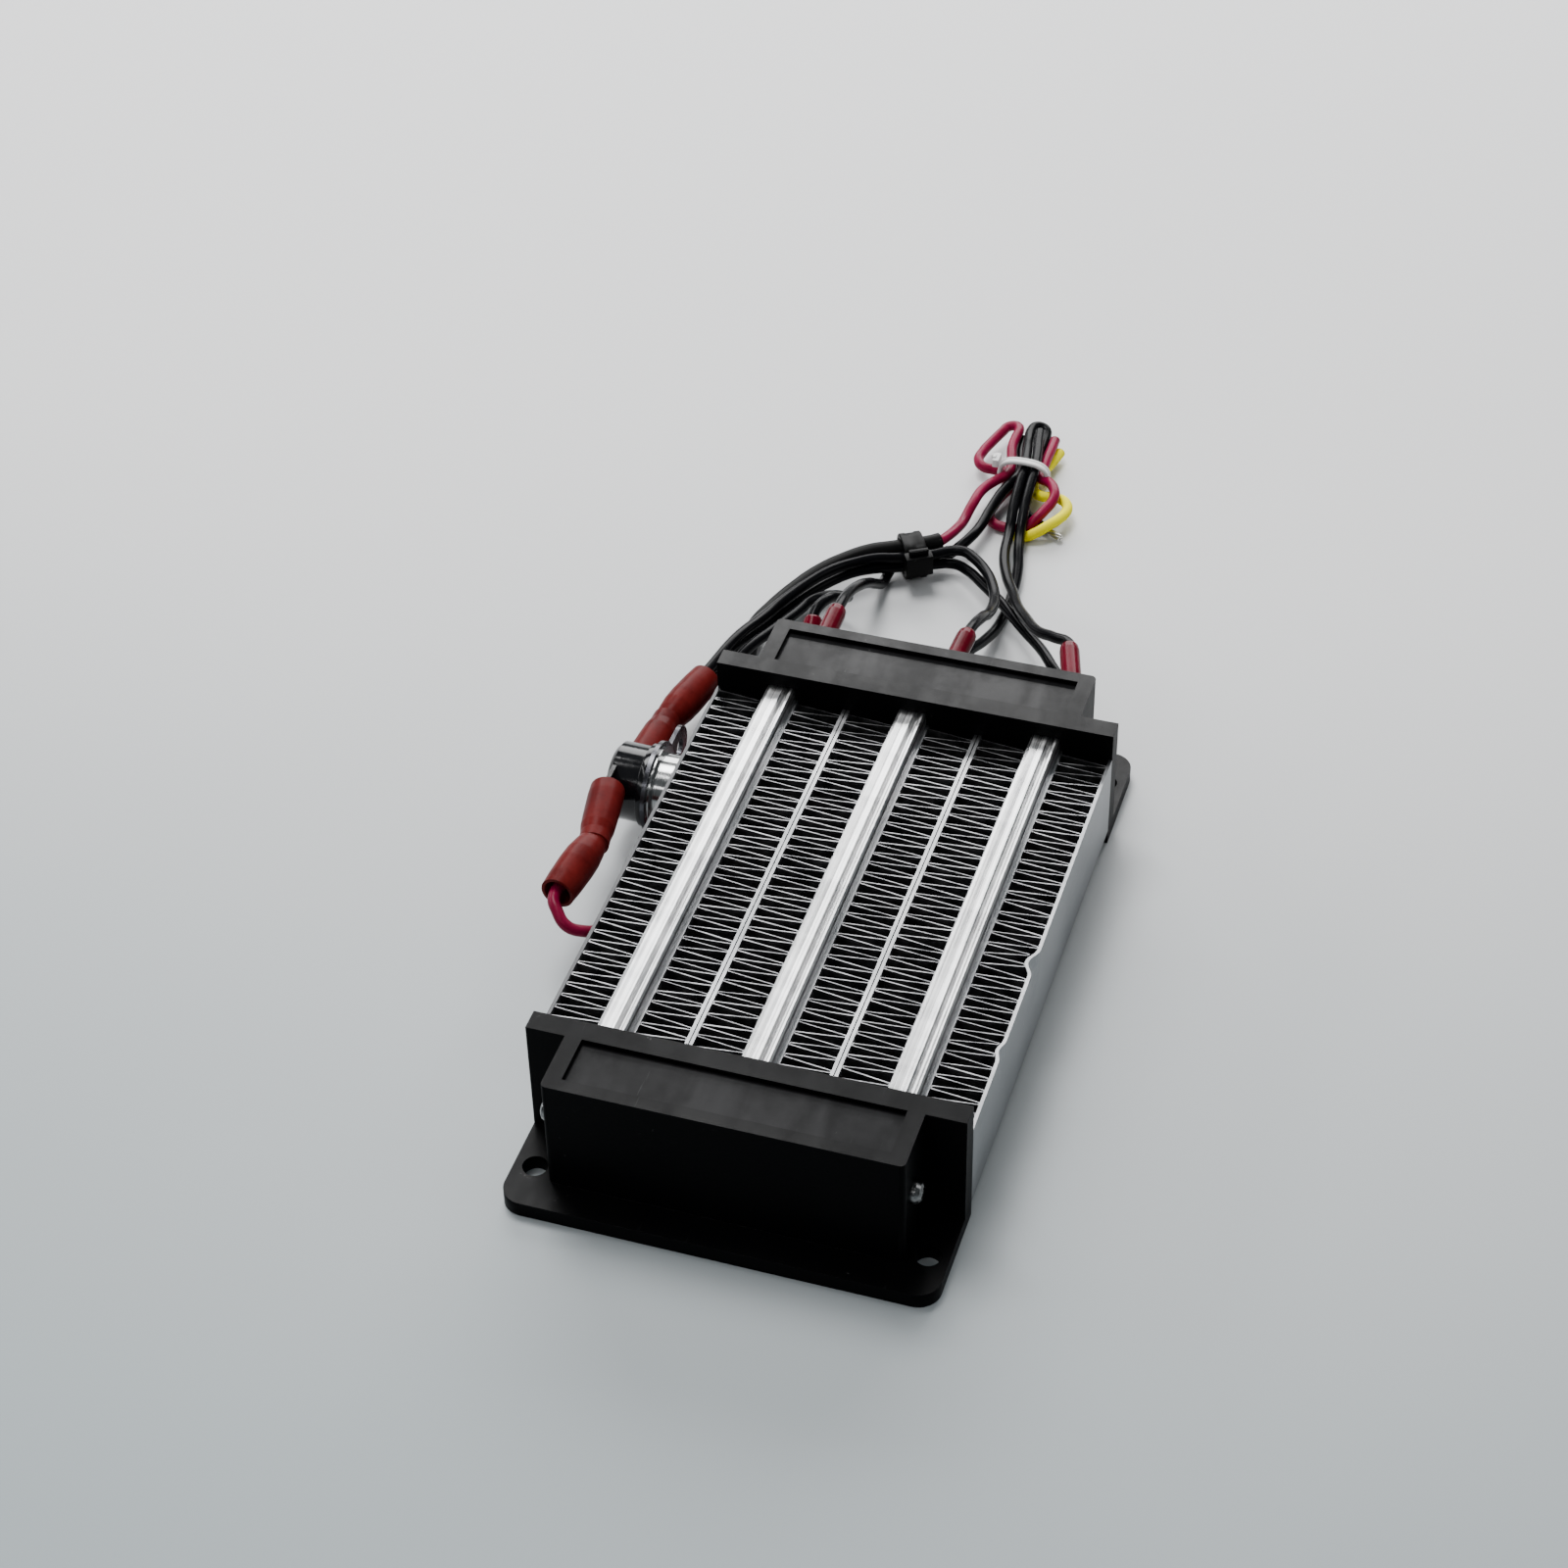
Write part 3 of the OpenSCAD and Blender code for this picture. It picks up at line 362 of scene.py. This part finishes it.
def softSkin(name, look):  # moulded or extruded plastic and rubber, film and fired ceramic
    material, begin, place = startFinish(name)
    patch = place.cloud(110, 4, 0.55)
    grain = place.cloud(look["grain"], 3, 0.6)
    colour = (patch * 0.75 + grain * 0.25).step(0.3, 0.7).between(look["dark"], look["light"])
    specks = place.cloud(700, 2, 0.7).step(0.66, 0.8) * place.cloud(60, 2).step(0.4, 0.7)
    dusty = (specks * look["dust"] * 0.5).between(colour, dustColour)
    roughness = look["roughness"] + (patch - 0.5) * 0.16 + (grain - 0.5) * 0.10 + specks * 0.15
    bumps = grain.relief(look.get("peel", 0.00002), 0.5, patch.relief(0.00008, 0.35))
    endFinish(begin, {"Base Color": dusty, "Roughness": roughness, "Normal": bumps,
                      "Specular IOR Level": look["gloss"]})
    return material


finishes = {
    "cap": mouldedPlastic(capLook),
    "bar": drawnAluminium(barLook),
    "fin": foldedFoil(finLook),
    "plate": rolledPlate(plateLook),
    "screw": plainMetal("screwSteel", screwLook),
    "cup": spunMetal(cupLook),
    "bracket": zincSheet(shadedBracketLook),
    "body": softSkin("glossyMoulding", bodyLook),
    "tab": plainMetal("shadedTabSteel", shadedTabLook),
    "brass": plainMetal("tarnishedBrass", brassLook),
    "tin": plainMetal("tinnedStrand", tinLook),
    "electrode": plainMetal("stripMetal", electrodeLook),
    "brickSleeve": softSkin("brickSilicone", brickSleeveLook),
    "crimsonSleeve": softSkin("crimsonShrink", crimsonSleeveLook),
    "blackLead": softSkin("blackInsulation", blackLeadLook),
    "cover": softSkin("coverRubber", coverLook),
    "crimsonLead": softSkin("crimsonInsulation", crimsonLeadLook),
    "yellowLead": softSkin("yellowInsulation", yellowLeadLook),
    "blackTie": softSkin("blackNylon", blackTieLook),
    "whiteTie": softSkin("whiteNylon", whiteTieLook),
    "stone": softSkin("firedCeramic", stoneLook),
    "film": softSkin("amberFilm", filmLook),
}

print("stage: cords")
cordSizes = {"lead": 2.2, "yellow": 2.2, "cover": 3.7, "rings": 8, "sides": 4}  # millimetres, as are all routes
leftFeedRoute = [  # from the far thermostat sleeve, and back to the left bar's lower sleeve
    (-47.3, 50.9, 7.6), (-45.9, 57.6, 7.6), (-44.5, 64.3, 7.6), (-43, 69.5, 7.3), (-41.3, 76, 7.2),
    (-39, 83, 6.5), (-37.2, 88.6, 5.8), (-35.9, 93, 5.3), (-35.1, 95.7, 5.2), (-33.5, 97.7, 5.2),
    (-31.1, 98.6, 5.5), (-28.6, 97.9, 6.4), (-27.1, 96, 7.9), (-26.8, 93.4, 9.9), (-27.3, 90.6, 12),
    (-28.4, 87.6, 13.6), (-29.4, 84.6, 13.9), (-29.8, 82.1, 13.4), (-29, 77.5, 11.8), (-28.2, 73, 10.1)]
middleFeedRoute = [  # through the black tie and round to the middle bar's upper sleeve
    (-48.5, 51.1, 9.7), (-47.1, 57.8, 9.7), (-45.7, 64.5, 9.7), (-43.8, 76, 9.2), (-41.2, 87.5, 7),
    (-39.2, 94, 6.6), (-36.7, 99.9, 6.4), (-33.6, 105.1, 6.4), (-29.8, 109.1, 6.3), (-25.9, 112, 6.2),
    (-22.3, 113.7, 5.8), (-15.3, 117.7, 5.3), (-12.2, 119.6, 5.5), (-9.6, 119.8, 5.7), (-7.1, 118.1, 5.9),
    (-3.2, 113.8, 6.2), (-0.3, 108.2, 7), (1.3, 102.9, 8), (2.1, 95.2, 10.8), (2.3, 90, 14),
    (1.9, 81.5, 17), (1.5, 71.7, 17)]
rightFeedRoute = [  # through the black tie and round to the right bar's lower sleeve
    (-49.7, 51.4, 7.6), (-48.3, 58.1, 7.6), (-46.8, 64.8, 7.6), (-45, 76, 6), (-41.2, 87.5, 4.2),
    (-39.2, 94, 3.8), (-36.7, 99.9, 3.6), (-33.6, 105.1, 3.6), (-30, 108.9, 3.9), (-26.3, 111.5, 3.8),
    (-22.3, 113.7, 3.4), (-15.3, 117.7, 2.8), (-11.6, 118.9, 2.8), (-7.8, 116.9, 3.2), (-3.7, 113, 3.6),
    (1.1, 108.1, 4), (9, 98.6, 5), (13.8, 92.2, 6.6), (17, 87.2, 7.4), (21.2, 81.2, 7), (22.9, 71.6, 7)]
leftReturnRoute = [  # from the left bar's upper sleeve through the black tie into the hank
    (-24.2, 71.7, 17), (-24.4, 81.5, 17), (-24.6, 88.4, 15.2), (-24.5, 95, 12.1), (-24.4, 101.2, 8.2),
    (-24.2, 106.4, 4.2), (-24, 110.2, 1.7), (-23.9, 113.6, 1.4), (-23.1, 116.4, 2.3), (-16.7, 120.2, 2.3),
    (-13.8, 121.6, 2.4), (-11.9, 124, 3.2), (-10.2, 127.8, 3.6), (-9.4, 132.1, 3.4), (-8.9, 138, 3.5),
    (-7.9, 144.5, 3.9), (-6.1, 151, 4.05), (-6.8, 156, 3.4), (-8.2, 161, 2.9), (-8.6, 165.4, 2.8)]
middleReturnRoute = [  # from the middle bar's lower sleeve into the hank
    (-1.3, 71.7, 7), (-1.3, 76.6, 7), (-1.3, 81.5, 7), (-0.2, 88, 6), (1.2, 96, 3.2), (2.2, 104, 1.4),
    (2.2, 114, 1.4), (1.3, 122, 2), (0.1, 127, 2.6), (-0.9, 132.1, 3), (-1.7, 138, 4.4), (-2.3, 144.5, 5.4),
    (-2.8, 151, 5.95), (-3.6, 156.5, 5.9), (-4.5, 161, 5.75), (-5.2, 165, 5.6)]
rightReturnRoute = [  # from the right bar's upper sleeve into the hank
    (24.1, 73.5, 17), (21.3, 82.9, 17), (17.6, 86, 15.4), (13.4, 90, 12.9), (9.4, 96.4, 10.4),
    (6.3, 102.4, 8), (3.6, 109, 6), (0.5, 115.8, 4.6), (-1.9, 123, 3.8), (-3.2, 132.1, 3.3),
    (-4, 138, 4.5), (-4.6, 144.5, 5.4), (-5, 151, 5.95), (-6, 157, 5.6), (-7, 162.5, 4.9),
    (-7.4, 166.8, 4.6), (-6.95, 168.2, 4.5), (-5.8, 168.7, 4.3), (-4.65, 168.2, 4), (-4.2, 166.8, 3.75),
    (-4, 163.8, 3.6), (-3.9, 160.5, 3.6), (-3.9, 156, 3.9), (-3.9, 151, 4.05), (-3.7, 147.4, 3.2),
    (-3.4, 144.4, 2.1), (-2, 141.6, 1.3), (0.8, 139.4, 1.15), (3.4, 137.7, 1.15)]
supplyRoute = [  # from the near thermostat sleeve, along the pack, through the cover and into the hank
    (-47.6, 2.4, 15.8), (-48.3, -4.4, 15.8), (-49, -11.2, 15.8), (-47.6, -13.4, 15.2), (-45.4, -15, 13.6),
    (-42.8, -13.6, 11.6), (-41.2, -9.4, 8.8), (-40.4, -3, 5), (-40.2, 5, 2), (-40.2, 14, 1.4),
    (-40.2, 28, 1.4), (-40.2, 42, 1.4), (-40.2, 53, 1.4), (-40.2, 62, 1.4), (-41.4, 72, 2),
    (-43.4, 81, 2.1), (-44.2, 88.2, 2.2), (-42.4, 95, 2.6), (-39.7, 101.4, 3.2), (-36.3, 107, 4),
    (-32.1, 111.4, 4.8), (-28, 114.5, 5.4), (-23.9, 116.7, 5.5), (-16.9, 120.7, 5.5), (-15.4, 122.1, 5.4),
    (-14.3, 125, 5), (-13.5, 128.8, 4.3), (-13.2, 132.3, 3.6), (-12.7, 137.8, 4.2), (-12, 143.3, 4.3),
    (-10.2, 147.6, 4.1), (-8.4, 151, 4.05), (-8.9, 155.3, 4.2), (-9.9, 159.6, 4.4), (-10, 163.2, 4.5),
    (-10, 165.9, 4.45), (-10.5, 167.2, 4.35), (-11.7, 167.7, 4.15), (-12.9, 167.2, 3.9), (-13.5, 165.8, 3.7),
    (-14.8, 162.2, 3.3), (-15.9, 158, 3.1), (-16, 155, 3), (-14.6, 153.3, 2.8), (-12.2, 153.4, 2.4),
    (-9.8, 153.6, 2.25), (-8, 152.8, 2.2), (-7.2, 151, 2.15), (-7.4, 148.6, 2), (-8.4, 145.8, 1.75),
    (-9.2, 142.4, 1.5), (-9.3, 139, 1.3), (-7.6, 136.6, 1.2), (-4.8, 135.9, 1.2), (-2.2, 136, 1.35),
    (-0.4, 136.6, 2), (1, 138, 3.2), (2.1, 140.2, 3.9), (3.2, 143.9, 4.7), (2.4, 147, 4.9),
    (0.6, 149.5, 4.5), (-1.6, 151.2, 4.05), (-1.7, 154.8, 4.2), (-1.8, 158.5, 4.2), (-1.8, 162.2, 4.1),
    (-1.9, 165.2, 4)]
yellowRoute = [  # a lead of its own in the hank, out from under the black ones
    (-2.6, 133.6, 1.1), (-0.2, 134, 1.2), (1.9, 134.9, 2.1), (3.8, 136.5, 3), (5.4, 138.8, 3.3),
    (6.3, 141.6, 3.2), (6, 144.4, 3), (4.3, 146.4, 2.8), (2, 147.1, 2.5), (-0.2, 147, 2.4), (-1.9, 148.2, 2.25),
    (-2.7, 150.2, 2.15), (-2.8, 152.2, 2.15), (-2.2, 155, 2.2), (-1.2, 159.5, 2),
    (-0.4, 164, 1.9)]
coverSpan = (14, 24)  # first and last point of the supply route inside the cover


def wireCurve(name, route, diameter, finish):
    data = bpy.data.curves.new(name, "CURVE")
    data.dimensions = "3D"
    spline = data.splines.new("BEZIER")
    spline.bezier_points.add(len(route) - 1)
    for point, place in zip(spline.bezier_points, route):
        point.co = Vector(place) * mm
        point.handle_left_type = point.handle_right_type = "AUTO"
    spline.resolution_u = cordSizes["rings"]
    data.bevel_depth = diameter * mm / 2
    data.bevel_resolution = cordSizes["sides"]
    data.use_fill_caps = True
    data.materials.append(finishes[finish])
    piece = bpy.data.objects.new(name, data)
    bpy.context.scene.collection.objects.link(piece)
    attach(piece, "root")
    return piece


def routeLength(route):
    return sum((Vector(b) - Vector(a)).length for a, b in zip(route, route[1:])) * mm


tipSizes = {
    "short": 0.55,
    "length": 4.8,
    "inside": 0.4,
    "strands": 7,
    "wire": 0.42,
    "spread": 0.5,
    "flare": 0.25,
    "uneven": 0.04,
    "twist": 2.2,
    "joints": 9,
}


def bareTip(name, route, reachOut):  # tinned strands, lightly twisted, where the insulation is cut off
    end = Vector(route[-1])
    ahead = (end - Vector(route[-2])).normalized()
    side = ahead.cross(Vector((0, 0, 1))).normalized()
    lift = side.cross(ahead)
    data = bpy.data.curves.new(name, "CURVE")
    data.dimensions = "3D"
    data.bevel_depth = tipSizes["wire"] * mm / 2
    data.bevel_resolution = 2
    data.use_fill_caps = True
    joints = tipSizes["joints"]
    for k in range(tipSizes["strands"]):  # one in the middle, the others round it
        spline = data.splines.new("POLY")
        spline.points.add(joints)
        reach = tipSizes["spread"] if k else 0
        for i, point in enumerate(spline.points):
            share = i / joints
            turn = k * math.pi / 3 + share * tipSizes["twist"]
            wide = reach * (1 + tipSizes["flare"] * share * math.sin(k * 2.3))
            far = share * reachOut * (0.9 + tipSizes["uneven"] * (k % 3)) - tipSizes["inside"]
            place = end + ahead * far + side * wide * math.cos(turn) + lift * wide * math.sin(turn)
            point.co = (*(place * mm), 1)
    data.materials.append(finishes["tin"])
    piece = bpy.data.objects.new(name, data)
    bpy.context.scene.collection.objects.link(piece)
    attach(piece, "root")
    return piece


def roundedPoint(halfWide, halfHigh, angle, power):  # on an oval that a small power squares off
    c, s = math.cos(angle), math.sin(angle)
    across = math.copysign(abs(c) ** power, c) * halfWide
    return Vector((across, 0, math.copysign(abs(s) ** power, s) * halfHigh))


tieSizes = {"thick": 0.85, "corner": 0.2, "groove": (0.45, 0.35, 0.12), "steps": 96, "sharp": 35}
headSizes = {"into": 0.3, "past": 0.5, "down": 0.25, "round": 0.3}
tailSizes = {"from": 0.5, "to": 1.3, "narrower": 0.3, "down": 0.6, "short": 0.2, "round": 0.15}
toothSizes = {"count": 5, "from": 1.22, "to": 1.42, "narrower": 0.6, "high": 0.17, "round": 0.04}


def cableTie(name, place, turn, opening, strap, head, finish, node):
    body = bmesh.new()
    thick, corner, half = tieSizes["thick"], tieSizes["corner"], strap / 2
    brim, floor = (half * share for share in tieSizes["groove"][:2])
    low = thick - tieSizes["groove"][2]
    section = [(-half, corner), (-half + corner, 0), (half - corner, 0), (half, corner),
               (half, thick - corner), (half - corner, thick), (brim, thick), (floor, low),
               (-floor, low), (-brim, thick), (-half + corner, thick), (-half, thick - corner)]
    rings = []
    for i in range(tieSizes["steps"]):
        angle = 2 * math.pi * i / tieSizes["steps"]
        inner = roundedPoint(opening[0] / 2, opening[1] / 2, angle, opening[2])
        outer = roundedPoint(opening[0] / 2 + thick, opening[1] / 2 + thick, angle, opening[2])
        rings.append([body.verts.new(inner.lerp(outer, r / thick) + Vector((0, y, 0))) for y, r in section])
    for i, ring in enumerate(rings):
        after = rings[(i + 1) % len(rings)]
        for k in range(len(section)):
            m = (k + 1) % len(section)
            body.faces.new((ring[k], after[k], after[m], ring[m]))

    def block(low, high, bevel):  # a box with rounded edges
        made = bmesh.ops.create_cube(body, size=1)["verts"]
        middle = (Vector(low) + Vector(high)) / 2
        size = Vector(high) - Vector(low)
        for vert in made:
            vert.co = Vector((vert.co.x * size.x, vert.co.y * size.y, vert.co.z * size.z)) + middle
        edges = list({edge for vert in made for edge in vert.link_edges})
        bmesh.ops.bevel(body, geom=edges, offset=bevel, segments=2, profile=0.7, affect="EDGES")

    side = opening[0] / 2 + thick
    top = opening[1] / 2 + thick
    wide, high, tail = head
    box, end, tooth = headSizes, tailSizes, toothSizes
    block((side - box["into"], -half - box["past"], top - high),
          (side + wide, half + box["past"], top - box["down"]), box["round"])
    block((side + end["from"], -half + end["narrower"], top - end["down"]),
          (side + end["to"], half - end["narrower"], top + tail - end["short"]), end["round"])
    for k in range(tooth["count"]):
        z = top - end["short"] + k * tail / tooth["count"]
        block((side + tooth["from"], -half + tooth["narrower"], z),
              (side + tooth["to"], half - tooth["narrower"], z + tooth["high"]), tooth["round"])
    bmesh.ops.recalc_face_normals(body, faces=body.faces)
    spin = Matrix.Rotation(math.radians(turn), 4, "Z") @ Matrix.Scale(mm, 4)
    body.transform(Matrix.Translation(Vector(place) * mm) @ spin)
    mesh = bpy.data.meshes.new(name)
    body.to_mesh(mesh)
    body.free()
    for face in mesh.polygons:
        face.use_smooth = True
    mesh.set_sharp_from_angle(angle=math.radians(tieSizes["sharp"]))
    mesh.materials.append(finishes[finish])
    piece = bpy.data.objects.new(name, mesh)
    bpy.context.scene.collection.objects.link(piece)
    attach(piece, "root")
    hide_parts(node)
    return piece


blackTie = cableTie("blackTie", (-19.8, 117.4, 4.35), -60, (6.8, 6.6, 0.6), 4.6, (2.2, 4.8, 1.2),
                    "blackTie", "black_cable_tie")
whiteTie = cableTie("whiteTie", (-5, 150.8, 4.1), 180, (9.5, 6.3, 0.74), 1.9, (1.05, 2.1, 0.2),
                    "whiteTie", "white_cable_tie")

leadPlan = [  # name, route, finish, material slot, nodes it stands for, far end, lay
    ("leftFeed", leftFeedRoute, "blackLead", "lead_black", ["left_feed_lead"], "object", "loose"),
    ("middleFeed", middleFeedRoute, "blackLead", "lead_black", ["middle_feed_lead"], "object", "loose"),
    ("rightFeed", rightFeedRoute, "blackLead", "lead_black", ["right_feed_lead"], "object", "loose"),
    ("leftReturn", leftReturnRoute, "blackLead", "lead_black", ["left_return_lead"], "bare", "coiled"),
    ("middleReturn", middleReturnRoute, "blackLead", "lead_black", ["middle_return_lead"], "bare", "coiled"),
    ("rightReturn", rightReturnRoute, "blackLead", "lead_black", ["right_return_lead"], "bare", "coiled"),
    ("supply", supplyRoute, "crimsonLead", "lead_crimson", ["supply_lead", "lead_hank"], "bare", "coiled"),
]
ridersOf = {"middleFeed": [blackTie], "supply": [whiteTie]}
coverRoute = supplyRoute[coverSpan[0]:coverSpan[1] + 1]
cover = wireCurve("supplyCover", coverRoute, cordSizes["cover"], "cover")
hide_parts("supply_lead_cover")
ridersOf["supply"].append(cover)
for name, route, finish, slotName, stands, farEnd, lay in leadPlan:
    piece = wireCurve(name, route, cordSizes["lead"], finish)
    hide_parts(*stands)
    riders = ridersOf.get(name, [])
    if farEnd == "bare":
        stripped = tipSizes["length" if name == "rightReturn" else "short"]
        riders = riders + [bareTip(name + "Tip", route, stripped)]
    routeLength(route)
yellow = wireCurve("yellowLead", yellowRoute, cordSizes["yellow"], "yellowLead")
routeLength(yellowRoute)
bareTip("yellowTip", yellowRoute, tipSizes["short"])

print("stage: finishes on the packed nodes")
nodeFinishes = [  # part of a node's name, finish; the first that fits counts
    ("end_cap", "cap"), ("side_screws", "screw"), ("bar_tube", "bar"), ("bar_stones", "stone"),
    ("bar_film", "film"), ("electrode", "electrode"), ("plate", "plate"), ("fin_strip", "fin"),
    ("thermostat_cup", "cup"), ("thermostat_bracket", "bracket"), ("thermostat_body", "body"),
    ("thermostat_tabs", "tab"), ("thermostat_crimps", "brass"), ("thermostat_near_sleeve", "brickSleeve"),
    ("thermostat_far_sleeve", "brickSleeve"), ("terminal_sleeve", "crimsonSleeve"),
]
for name, thing in nodes.items():
    finish = next((look for part, look in nodeFinishes if part in name), None)
    if finish is None:
        continue
    for holder in thing.material_slots:
        holder.material = finishes[finish]

edgeSizes = {"end_cap": 0.00025, "thermostat_body": 0.0002}  # how far the moulded edges are rounded
edgeRule = {"join": 0.00001, "segments": 2, "angle": 40}


def roundEdges(thing, width):
    weld = thing.modifiers.new("weld", "WELD")
    weld.merge_threshold = edgeRule["join"]
    bevel = thing.modifiers.new("softEdge", "BEVEL")
    bevel.width = width
    bevel.segments = edgeRule["segments"]
    bevel.limit_method = "ANGLE"
    bevel.angle_limit = math.radians(edgeRule["angle"])


unevenFold = {"reach": 0.0010, "grain": 0.0030}
unevenCloud = bpy.data.textures.new("unevenFold", "CLOUDS")
unevenCloud.noise_scale = unevenFold["grain"]


def bendFolds(thing):  # no two folds of the foil stand quite alike
    shift = thing.modifiers.new("unevenFold", "DISPLACE")
    shift.texture = unevenCloud
    shift.texture_coords = "GLOBAL"
    shift.direction = "Y"
    shift.strength = unevenFold["reach"]
    shift.mid_level = 0.5


for name, thing in nodes.items():
    width = next((size for part, size in edgeSizes.items() if part in name), None)
    if width:
        roundEdges(thing, width)
    if "fin_strip" in name and "plate" not in name:
        bendFolds(thing)

print("stage: floor and lights")
floorLook = {
    "far": (0.65, 0.65, 0.655),
    # near: painted shade, the floor darker and bluer towards the camera as the light falls off
    "near": (0.305, 0.352, 0.371),
    "change": (-0.17, 0.17),  # along the pack, where the painted shade of the near floor turns into the far colour
    "roughness": 0.55,
    "reach": 3.0,
    "below": 0.0001,
}


def paleFloor(look):
    material, begin, place = startFinish("paleFloor")
    soft = place.cloud(3, 3, 0.5)
    # painted shade: the floor's colour darkens towards the camera
    shadeAlong = place.axis(1) + (soft - 0.5) * 0.12
    colour = shadeAlong.step(*look["change"]).between(look["near"], look["far"])
    endFinish(begin, {"Base Color": colour, "Roughness": look["roughness"] + (soft - 0.5) * 0.08})
    mesh = bpy.data.meshes.new("floor")
    r, z = look["reach"], -look["below"]
    mesh.from_pydata([(-r, -r, z), (r, -r, z), (r, r, z), (-r, r, z)], [], [(0, 1, 2, 3)])
    mesh.materials.append(material)
    floor = bpy.data.objects.new("floor", mesh)
    bpy.context.scene.collection.objects.link(floor)


paleFloor(floorLook)
lampPlan = [  # name, place, looks at, width, height, watts
    ("farSoft", (-0.22, 0.94, 0.50), (0, 0.02, 0), 1.1, 0.46, 15),
    ("keySoft", (-0.32, 0.40, 1.10), (0, 0.05, 0), 0.45, 0.45, 12),
    ("leftStrip", (-0.95, 0.20, 0.42), (0, 0.02, 0), 0.9, 0.10, 3.0),
    ("rightFill", (0.9, 0.20, 0.9), (0, 0, 0), 0.5, 0.5, 1.6),
    ("overStrip", (-0.28, -0.22, 0.98), (-0.04, 0.02, 0), 0.9, 0.06, 1.6),
    ("frontStrip", (-0.24, -0.78, 0.66), (0, -0.02, 0), 0.9, 0.07, 1.6),
]
for name, place, target, wide, high, watts in lampPlan:
    lamp = bpy.data.lights.new(name, "AREA")
    lamp.shape = "RECTANGLE"
    lamp.size = wide
    lamp.size_y = high
    lamp.energy = watts
    holder = bpy.data.objects.new(name, lamp)
    holder.location = place
    holder.rotation_euler = (Vector(target) - Vector(place)).to_track_quat("-Z", "Y").to_euler()
    bpy.context.scene.collection.objects.link(holder)
roomLight = {"colour": (0.78, 0.86, 0.90), "strength": 0.22}
world = bpy.data.worlds.new("studio")
world.use_nodes = True
background = world.node_tree.nodes["Background"]
background.inputs["Color"].default_value = (*roomLight["colour"], 1)
background.inputs["Strength"].default_value = roomLight["strength"]
bpy.context.scene.world = world
